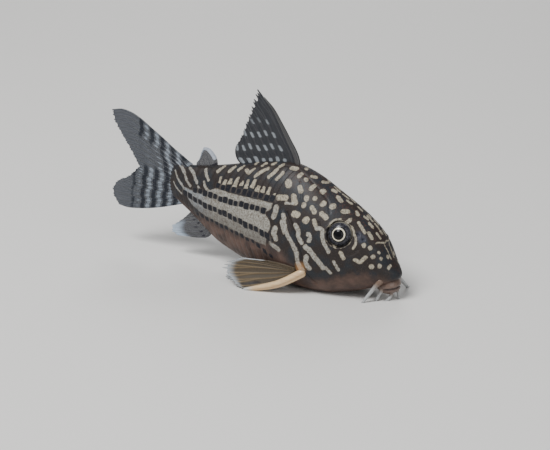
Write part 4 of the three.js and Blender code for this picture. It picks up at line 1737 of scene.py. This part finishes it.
@dataclass
class FanFin:
    """A paired fin: a fan of rays from a short root, arched a little."""

    name: str
    shape: BodyShape
    side: Side
    marks: FinMarks
    roots: tuple[Place3, Place3]
    tips: tuple[Place3, ...]
    arch: float
    node: str
    leading: tuple[Place3, ...] = ()
    rows: int = 70
    columns: int = 150
    notch: float = 0.07
    web: float = 0.05
    ray: float = 0.11
    fray: float = 0.04
    floor_gap: float = 0.015

    def build(self, material: Material) -> None:
        """Makes the fin.

        Args:
            material: The fin's finish.
        """
        t = np.linspace(0.0, 1.0, self.rows)[:, None]
        u = np.linspace(0.0, 1.0, self.columns)[None, :]
        t, u = np.broadcast_arrays(t, u)
        ridge = ray_ridge(u, np.ones_like(u), self.marks.rays, 0.2)
        fray = self.fray * (0.5 + 0.5 * np.sin(u * 47.0)) * (0.5 + 0.5 * np.sin(u * 131.0))
        out = t * (1.0 - self.notch * (1 - ridge) - fray)
        mirror = np.array([1.0, self.side.sign, 1.0])
        root, tip = Path(self.roots)(u) * mirror, Path(self.tips)(u) * mirror
        places = root + (tip - root) * out[..., None]
        if self.leading:
            straight = root[:, :1] + (tip[:, :1] - root[:, :1]) * out[..., None]
            bend = Path(self.leading)(out) * mirror - straight
            places = places + bend * (1.0 - smooth_step(0.0, 0.45, u))[..., None]
        middle = self.shape.place(places[..., 0], places[..., 1], places[..., 2])
        middle[..., 2] += self.arch * LENGTH * np.sin(math.pi * out) * smooth_step(0.0, 0.2, u)
        fields = self.marks.fields(u, out, places[..., 0], places[..., 2])
        normal = unit(np.cross(np.gradient(middle, axis=0), np.gradient(middle, axis=1)))
        half = self.web + self.ray * fields["ray"] * (1 - 0.55 * out)
        front, rear = middle + normal * half[..., None], middle - normal * half[..., None]
        for face in (front, rear):
            face[..., 2] = np.maximum(face[..., 2], self.floor_gap)
        maker = MeshMaker(self.name)
        maker.add_sheet(front, rear, fields)
        maker.make(material, (self.node,))


@dataclass
class Strand:
    """A spine or feeler: a tapered strand along a line, with ridges and teeth if it is a spine."""

    name: str
    shape: BodyShape
    side: Side
    path: tuple[Place3, ...]
    radii: tuple[float, ...]
    node: str
    ridges: float = 0.0
    teeth: float = 0.0
    wave: float = 0.0
    rows: int = 110
    columns: int = 28
    saw_teeth: float = 17.0
    floor_gap: float = 0.01

    def build(self, material: Material, slot: str) -> None:
        """Makes the strand.

        Args:
            material: Its finish.
            slot: Not used.
        """
        t = np.linspace(0.0, 1.0, self.rows)
        places = Path(self.path)(t) * np.array([1.0, self.side.sign, 1.0])
        line = self.shape.place(places[:, 0], places[:, 1], places[:, 2])
        line[:, 1] += self.wave * np.sin(t * 7.0) * t
        ahead = unit(np.gradient(line, axis=0))
        outward = np.broadcast_to([0.0, -self.side.sign, -0.6], ahead.shape)
        outward = unit(outward - (outward * ahead).sum(axis=1, keepdims=True) * ahead)
        across = np.cross(ahead, outward)
        turn = np.arange(self.columns)[None, :] / self.columns * 2 * math.pi
        run = np.r_[0.0, np.cumsum(np.linalg.norm(np.diff(line, axis=0), axis=1))]
        radius = np.interp(t, np.linspace(0.0, 1.0, len(self.radii)), self.radii)
        for end, size in ((run, self.radii[0]), (run[-1] - run, self.radii[-1])):
            near = np.clip(1.0 - end / size, 0.0, 1.0)
            radius = radius * np.maximum(np.sqrt(1.0 - near**2), 0.10)
        radius = radius[:, None]
        grooved = 1.0 - self.ridges * np.exp(-((np.angle(np.exp(1j * turn)) / 0.32) ** 2))
        back = np.exp(-(((np.abs(np.angle(np.exp(1j * turn))) - math.pi) / 0.5) ** 2))
        saw = np.maximum(np.sin(t[:, None] * 2 * math.pi * self.saw_teeth), 0.0)
        saw = saw * smooth_step(0.12, 0.3, t[:, None])
        reach = radius * grooved + self.teeth * back * saw
        ring = (
            line[:, None, :]
            + reach[..., None] * np.cos(turn)[..., None] * outward[:, None, :]
            + reach[..., None] * np.sin(turn)[..., None] * across[:, None, :]
        )
        ring[..., 2] = np.maximum(ring[..., 2], self.floor_gap)
        orange = np.zeros_like(reach)
        if self.ridges:
            orange = np.clip(0.9 * back + 0.55 * (1 - grooved) / self.ridges, 0, 1) * 0.8
        fields = {
            "tone": np.broadcast_to(smooth_step(0.15, 0.55, t)[:, None], reach.shape),
            "dark": np.broadcast_to(0.35 * smooth_step(0.25, 0.0, t)[:, None], reach.shape),
            "tip": np.broadcast_to(smooth_step(0.80, 0.98, t)[:, None], reach.shape),
            "orange": orange,
        }
        maker = MeshMaker(self.name)
        maker.add_tube(ring, fields, flip=True)
        maker.make(material, (self.node,))


@dataclass
class Eye:
    """A wet eyeball, turned a little forward and up, with its pupil bulging slightly."""

    shape: BodyShape
    plan: EyePlan
    side: Side
    rings: int = 60
    columns: int = 72
    pupil: float = 0.84
    lens_rise: float = 0.10
    lens_fade: float = 0.25
    dip_depth: float = 0.06
    dip_radius: float = 1.32
    dip_spread: float = 0.16

    def build(self, material: Material) -> None:
        """Makes the eyeball.

        Args:
            material: The eye's finish.
        """
        axis, centre = self.plan.axis(self.side), self.plan.centre(self.shape, self.side)
        first = unit(np.cross([0.0, 0.0, 1.0], axis))
        second = np.cross(axis, first)
        polar = np.linspace(0.0, math.pi, self.rings + 2)[1:-1][:, None]
        turn = np.arange(self.columns)[None, :] / self.columns * 2 * math.pi
        radius = self.plan.radius * np.sin(polar)
        out = self.plan.depth * np.cos(polar)
        fade = smooth_step(self.pupil - self.lens_fade, self.pupil, radius)
        lens = self.lens_rise * (1 - fade) * (out > 0)
        dip = -self.dip_depth * np.exp(-(((radius - self.dip_radius) / self.dip_spread) ** 2)) * (out > 0)
        out = out + lens + dip
        grid = (
            centre
            + (radius * np.cos(turn))[..., None] * first
            + (radius * np.sin(turn))[..., None] * second
            + out[..., None] * axis
        )
        fields = {"radius": np.where(polar < math.pi / 2, radius, self.plan.radius)}
        maker = MeshMaker(f"eyeball_{self.side.word}")
        maker.add_tube(grid, fields, ends=({"radius": np.zeros(1)}, {"radius": np.full(1, self.plan.radius)}))
        maker.make(material, (f"eye_{self.side.word}",))


@dataclass
class Lips:
    """The small mouth under the snout: two fleshy lips with a crease between them, paler on top with painted
    light and darkened in the crease with painted shade.
    """

    shape: BodyShape
    station: float = 0.056
    height: float = 0.038
    half_length: float = 2.3
    half_width: float = 2.4
    half_height: float = 1.80
    rings: int = 60
    columns: int = 96

    def build(self, material: Material) -> None:
        """Makes the lips.

        Args:
            material: The lips' finish.
        """
        centre = self.shape.place(self.station, 0.0, self.height)
        polar = np.linspace(0.0, math.pi, self.rings + 2)[1:-1][:, None]
        turn = np.arange(self.columns)[None, :] / self.columns * 2 * math.pi
        x, y = np.sin(polar) * np.cos(turn), np.sin(polar) * np.sin(turn)
        z = np.cos(polar)
        ahead = smooth_step(-0.3, 0.4, x)
        slit = np.exp(-(((z + 0.10 + 0.20 * y * y) / 0.11) ** 2)) * ahead
        middle = np.exp(-((y / 0.14) ** 2)) * smooth_step(-0.15, -0.5, z)
        lobes = np.exp(-(((np.abs(y) - 0.45) / 0.25) ** 2)) * smooth_step(-0.2, -0.6, z)
        near_slit = smooth_step(-0.7, -0.1, -np.abs(z + 0.1))
        pleats = 0.018 * np.cos(np.arctan2(y, x + 0.4) * 26.0) * ahead * near_slit
        size = 1.0 - 0.17 * slit - 0.10 * middle + 0.02 * lobes + pleats
        size = np.minimum(size, 1.0)
        grid = centre + np.stack([
            x * size * self.half_length, y * size * self.half_width, z * size * self.half_height,
        ], axis=-1)
        # tone makes the lips paler upwards, which is painted light from above; dark darkens the slit between
        # the lips and the groove down the middle, which is painted shade in the creases.
        fields = {"tone": np.clip(0.5 + 0.5 * z, 0, 1), "dark": np.clip(slit * 1.1 + middle * 0.35, 0, 1)}
        maker = MeshMaker("lips")
        ends = ({"tone": np.ones(1), "dark": np.zeros(1)}, {"tone": np.zeros(1), "dark": np.zeros(1)})
        maker.add_tube(grid, fields, ends=ends)
        maker.make(material, ("mouth",))


DORSAL_LOBE = FinLobe(
    leading=(
        (0.484, 0.385), (0.494, 0.428), (0.530, 0.484), (0.569, 0.539), (0.609, 0.590), (0.653, 0.631),
        (0.676, 0.651),
    ),
    fringe=(
        (0.676, 0.651), (0.692, 0.605), (0.700, 0.568), (0.714, 0.522), (0.725, 0.480), (0.737, 0.447),
        (0.754, 0.412),
    ),
    inner=((0.722, 0.343), (0.744, 0.360), (0.755, 0.386), (0.754, 0.412)),
    base=((0.484, 0.385), (0.60, 0.372), (0.722, 0.343)),
    rays=8,
    columns=150,
)
ADIPOSE_LOBE = FinLobe(
    leading=((0.828, 0.300), (0.838, 0.345), (0.854, 0.363), (0.873, 0.375), (0.897, 0.374)),
    fringe=((0.897, 0.374), (0.906, 0.352), (0.914, 0.322), (0.925, 0.305)),
    inner=((0.925, 0.284), (0.926, 0.294), (0.925, 0.305)),
    base=((0.828, 0.300), (0.880, 0.285), (0.925, 0.284)),
    rays=4,
    columns=60,
)
TAIL_UPPER = FinLobe(
    leading=(
        (0.950, 0.290), (0.971, 0.300), (0.996, 0.316), (1.036, 0.338), (1.085, 0.366), (1.145, 0.397),
        (1.195, 0.423), (1.245, 0.440), (1.285, 0.443), (1.333, 0.431),
    ),
    fringe=((1.333, 0.431), (1.325, 0.396), (1.292, 0.350), (1.240, 0.290), (1.192, 0.228)),
    inner=((0.985, 0.206), (1.100, 0.209), (1.192, 0.228)),
    base=((0.950, 0.290), (0.970, 0.250), (0.985, 0.206)),
    rays=8,
    columns=130,
)
TAIL_LOWER = FinLobe(
    leading=(
        (0.970, 0.128), (1.020, 0.106), (1.086, 0.081), (1.181, 0.054), (1.240, 0.044), (1.280, 0.046),
    ),
    fringe=((1.280, 0.046), (1.308, 0.075), (1.316, 0.105), (1.296, 0.142), (1.246, 0.173), (1.192, 0.228)),
    inner=((0.985, 0.206), (1.100, 0.209), (1.192, 0.228)),
    base=((0.970, 0.128), (0.980, 0.165), (0.985, 0.206)),
    rays=8,
    columns=130,
)
ANAL_LOBE = FinLobe(
    leading=((0.836, 0.055), (0.846, 0.022), (0.890, 0.004), (0.938, -0.004), (0.992, -0.012)),
    fringe=((0.992, -0.012), (1.024, -0.002), (1.028, 0.016), (1.006, 0.036), (0.975, 0.062), (0.945, 0.092)),
    inner=((0.928, 0.112), (0.936, 0.104), (0.945, 0.092)),
    base=((0.836, 0.055), (0.88, 0.085), (0.928, 0.112)),
    rays=7,
    columns=110,
)
PECTORAL_ROOTS = ((0.372, -0.146, 0.038), (0.374, -0.150, 0.062))
PECTORAL_TIPS = (
    (0.590, -0.196, -0.054), (0.630, -0.184, -0.044), (0.660, -0.172, -0.034), (0.678, -0.166, -0.018),
    (0.672, -0.162, 0.004), (0.648, -0.160, 0.024), (0.612, -0.158, 0.040), (0.570, -0.158, 0.048),
    (0.520, -0.158, 0.056),
)
PECTORAL_SPINE = (
    (0.336, -0.136, 0.054), (0.352, -0.144, 0.042), (0.384, -0.158, 0.018), (0.424, -0.171, -0.008),
    (0.489, -0.186, -0.036), (0.556, -0.204, -0.058),
)
PECTORAL_LEADING = (
    (0.372, -0.146, 0.038), (0.390, -0.158, 0.018), (0.424, -0.171, -0.006), (0.489, -0.186, -0.033),
    (0.556, -0.202, -0.055), (0.590, -0.196, -0.054),
)
PELVIC_ROOTS = ((0.530, -0.098, -0.040), (0.552, -0.060, -0.044))
PELVIC_TIPS = (
    (0.640, -0.146, -0.062), (0.676, -0.134, -0.066), (0.692, -0.112, -0.062), (0.680, -0.088, -0.052),
    (0.650, -0.068, -0.044),
)
DORSAL_SPINE = (
    (0.476, 0.0, 0.392), (0.486, 0.0, 0.424), (0.526, 0.0, 0.486), (0.565, 0.0, 0.541), (0.605, 0.0, 0.592),
    (0.649, 0.0, 0.628),
)
DORSAL_SPINE_RADII = (0.55, 0.50, 0.38, 0.26, 0.14)
PECTORAL_SPINE_RADII = (0.84, 0.78, 0.72, 0.64, 0.50, 0.28)
UPPER_FEELER = (0.62, 0.66, 0.46, 0.36, 0.34, 0.31, 0.27, 0.20)
LOWER_FEELER = (0.55, 0.52, 0.36, 0.27, 0.22, 0.16)
LIP_FEELER = (0.42, 0.36, 0.30, 0.26, 0.22, 0.16)
FEELERS = {
    "barbel_upper_right": (UPPER_FEELER, (
        (0.058, -0.056, 0.074), (0.074, -0.062, 0.052), (0.096, -0.076, 0.010), (0.112, -0.100, -0.024),
    )),
    "barbel_lower_right": (LOWER_FEELER, (
        (0.062, -0.032, 0.040), (0.069, -0.044, 0.008), (0.077, -0.056, -0.024),
    )),
    "barbel_lip_right": (LIP_FEELER, (
        (0.036, -0.012, 0.026), (0.030, -0.020, 0.000), (0.050, -0.038, -0.024),
    )),
    "barbel_upper_left": (UPPER_FEELER, (
        (0.058, 0.056, 0.074), (0.060, 0.068, 0.054), (0.048, 0.108, 0.014), (0.038, 0.146, -0.022),
    )),
    "barbel_lower_left": (LOWER_FEELER, (
        (0.062, 0.032, 0.040), (0.064, 0.052, 0.004), (0.070, 0.066, -0.024),
    )),
    "barbel_lip_left": (LIP_FEELER, (
        (0.030, 0.012, 0.026), (0.014, 0.016, 0.006), (0.002, 0.012, -0.020),
    )),
}


@dataclass(frozen=True)
class Studio:
    """The plain pale floor, the soft lights and the camera."""

    azimuth: float = math.radians(31.2)
    elevation: float = math.radians(18.0)
    distance: float = 330.0
    aim: Place3 = (7.670, 0.0, 10.6)
    aim_right: float = -1.87
    aim_up: float = -0.245
    lens: float = 114.5
    floor_size: float = 6.0
    floor_colour: Rgb = (0.72, 0.71, 0.69)
    floor_cloud: Rgb = (0.66, 0.65, 0.63)
    cloud_share: float = 0.06
    light_aim: Place3 = (0.005, 0.0, 0.010)
    sensor: float = 36.0
    clip_start: float = 0.01
    clip_end: float = 20.0
    world_colour: Rgb = (0.86, 0.88, 0.90)
    world_strength: float = 0.30

    def build(self) -> None:
        """Sets the floor, the light and the camera."""
        self.lay_floor()
        self.hang_lights()
        self.set_camera()

    def lay_floor(self) -> None:
        """Lays the floor at the level on which the fish rests."""
        mesh = bpy.data.meshes.new("floor")
        half = self.floor_size / 2
        corners = [(-half, -half, 0), (half, -half, 0), (half, half, 0), (-half, half, 0)]
        mesh.from_pydata(corners, [], [(0, 1, 2, 3)])
        g = Graph("floor_paint")
        cloud = g.step(g.noise(40.0, 2.0), 0.3, 0.7) * self.cloud_share
        colour = g.mix(cloud, self.floor_colour, self.floor_cloud)
        mesh.materials.append(g.shade(Base_Color=colour, Roughness=0.75))
        floor = bpy.data.objects.new("floor", mesh)
        bpy.context.scene.collection.objects.link(floor)

    def hang_lights(self) -> None:
        """Hangs a large key light, a fill and a rim light, and sets the pale surroundings."""
        world = bpy.data.worlds.new("studio")
        world.use_nodes = True
        background = world.node_tree.nodes["Background"]
        background.inputs["Color"].default_value = (*self.world_colour, 1.0)
        background.inputs["Strength"].default_value = self.world_strength
        bpy.context.scene.world = world
        for name, place, size, power in (
            ("key", (-0.10, -0.34, 0.52), 0.26, 4.6),
            ("fill", (0.48, -0.20, 0.22), 0.40, 0.9),
            ("rim", (-0.25, 0.45, 0.35), 0.30, 1.2),
        ):
            lamp = bpy.data.lights.new(name, "AREA")
            lamp.energy = power
            lamp.size = size
            holder = bpy.data.objects.new(name, lamp)
            holder.location = place
            aim = Vector(self.light_aim) - Vector(place)
            holder.rotation_euler = aim.to_track_quat("-Z", "Y").to_euler()
            bpy.context.scene.collection.objects.link(holder)

    def set_camera(self) -> None:
        """Sets the camera to look at the fish from ahead of its right flank and above."""
        sine, cosine = math.sin(self.azimuth), math.cos(self.azimuth)
        tilt, flat = math.sin(self.elevation), math.cos(self.elevation)
        back = Vector((sine * flat, -cosine * flat, tilt))
        right = Vector((cosine, sine, 0.0))
        up = back.cross(right)
        aim = Vector(self.aim) + right * self.aim_right + up * self.aim_up
        data = bpy.data.cameras.new("camera")
        data.lens = self.lens
        data.sensor_width = self.sensor
        data.sensor_fit = "HORIZONTAL"
        data.clip_start = self.clip_start
        data.clip_end = self.clip_end
        camera = bpy.data.objects.new("camera", data)
        turn = Matrix((right, up, back)).transposed().to_4x4()
        camera.matrix_world = Matrix.Translation((aim + back * self.distance) * MM) @ turn
        bpy.context.scene.collection.objects.link(camera)
        bpy.context.scene.camera = camera


@dataclass
class Catfish:
    """The whole fish."""

    shape: BodyShape = field(default_factory=BodyShape)
    eye: EyePlan = field(default_factory=EyePlan)

    def build(self) -> None:
        """Makes every piece in order."""
        self.shape.fit_to_frame(self.eye)
        LOG.info("the fish stands %.3f mm forward in the frame", self.shape.shift)
        self.build_coat()
        self.build_head()
        self.build_median_fins()
        self.build_paired_fins()

    def build_coat(self) -> None:
        """Makes the skin and the four rows of scutes."""
        markings = Markings(self.shape, PlateLayout(self.shape))
        finish = SkinFinish().material()
        Skin(self.shape, markings, self.eye).build(finish)
        for side in Side:
            for upper in (True, False):
                ScuteRow(self.shape, markings, side, upper).build(finish)

    def build_head(self) -> None:
        """Makes the eyes, the lips and the feelers."""
        wet = EyeFinish().material()
        for side in Side:
            Eye(self.shape, self.eye, side).build(wet)
        lips = FleshFinish(
            "lip_flesh", base=(0.105, 0.062, 0.046), tone=(0.150, 0.096, 0.072), shadow=(0.035, 0.020, 0.018),
        )
        Lips(self.shape).build(lips.material())
        feeler = FleshFinish(
            "feeler_flesh", base=(0.17, 0.105, 0.070), tone=(0.36, 0.37, 0.37), shadow=(0.065, 0.042, 0.034),
        ).material()
        for node, (radii, path) in FEELERS.items():
            strand = Strand(f"{node}_skin", self.shape, Side.RIGHT, path, radii, node, wave=0.12)
            strand.build(feeler, "barbel")

    def build_median_fins(self) -> None:
        """Makes the fins on the middle line."""
        # The dorsal web's nearly opaque dark grey stands for dark surroundings seen through a clear membrane:
        # painted shade. Its rays and spots are its own.
        dusky = FinFinish(
            "dorsal_web", web=(0.020, 0.022, 0.027), ray=(0.042, 0.042, 0.047), pale=(0.220, 0.240, 0.260),
            dark=(0.010, 0.012, 0.016), tip=(0.080, 0.080, 0.088), clear=0.10,
        ).material()
        # The tail web's dark bluish grey and high cover stand for dark surroundings seen through a clear
        # membrane: painted shade. Its bars and rays are its own.
        tail = FinFinish(
            "tail_web", web=(0.046, 0.052, 0.063), ray=(0.085, 0.092, 0.106), pale=(0.200, 0.230, 0.270),
            dark=(0.009, 0.012, 0.019), tip=(0.074, 0.078, 0.092), clear=0.20,
        ).material()
        clear = FinFinish(
            "clear_web", web=(0.052, 0.054, 0.062), ray=(0.105, 0.105, 0.112), pale=(0.400, 0.440, 0.510),
            dark=(0.014, 0.013, 0.021), tip=(0.400, 0.480, 0.580), clear=0.26,
        ).material()
        bone = SpineFinish(
            bone=(0.034, 0.033, 0.034), orange=(0.018, 0.017, 0.018), pale=(0.06, 0.06, 0.06),
        ).material()
        MedianFin(
            "dorsal_web", self.shape, FinMarks(FinPattern.DORSAL, 8), (DORSAL_LOBE,), ("dorsal_fin",),
        ).build(dusky)
        Strand(
            "dorsal_spine_bone", self.shape, Side.RIGHT, DORSAL_SPINE, DORSAL_SPINE_RADII,
            "dorsal_spine", ridges=0.12,
        ).build(bone, "fin")
        MedianFin(
            "adipose_web", self.shape, FinMarks(FinPattern.ADIPOSE, 4), (ADIPOSE_LOBE,), ("adipose_fin",),
            notch=0.01,
        ).build(clear)
        MedianFin(
            "tail_web", self.shape, FinMarks(FinPattern.TAIL, 8), (TAIL_UPPER, TAIL_LOWER),
            ("tail_fin_upper", "tail_fin_lower"), root_extra=0.50, notch=0.014,
        ).build(tail)
        MedianFin(
            "anal_web", self.shape, FinMarks(FinPattern.ANAL, 7), (ANAL_LOBE,), ("anal_fin",),
            root_extra=0.25,
        ).build(clear)

    def build_paired_fins(self) -> None:
        """Makes the breast and belly fins of both sides."""
        # The pectoral's near-black dark colour also fills the painted shade between its inner rays.
        warm = FinFinish(
            "pectoral_web", web=(0.066, 0.052, 0.036), ray=(0.150, 0.108, 0.060), pale=(0.400, 0.290, 0.150),
            dark=(0.010, 0.007, 0.007), tip=(0.380, 0.410, 0.440), clear=0.08,
        ).material()
        rosy = FinFinish(
            "pelvic_web", web=(0.110, 0.086, 0.074), ray=(0.180, 0.140, 0.118), pale=(0.320, 0.290, 0.265),
            dark=(0.034, 0.025, 0.022), tip=(0.340, 0.370, 0.390), clear=0.20,
        ).material()
        bone = SpineFinish().material()
        for side in Side:
            word = side.word
            FanFin(
                f"pectoral_web_{word}", self.shape, side, FinMarks(FinPattern.PECTORAL, 9), PECTORAL_ROOTS,
                PECTORAL_TIPS, 0.006, f"pectoral_fin_{word}", PECTORAL_LEADING,
            ).build(warm)
            Strand(
                f"pectoral_spine_bone_{word}", self.shape, side, PECTORAL_SPINE, PECTORAL_SPINE_RADII,
                f"pectoral_spine_{word}", ridges=0.22, teeth=0.10,
            ).build(bone, "spine")
            FanFin(
                f"pelvic_web_{word}", self.shape, side, FinMarks(FinPattern.PELVIC, 6), PELVIC_ROOTS,
                PELVIC_TIPS, 0.008, f"pelvic_fin_{word}", columns=100,
            ).build(rosy)


def main() -> None:
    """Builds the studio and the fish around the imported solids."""
    logging.basicConfig(level=logging.INFO, format="%(message)s")
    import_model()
    Studio().build()
    Catfish().build()


if __name__ == "__main__":
    main()
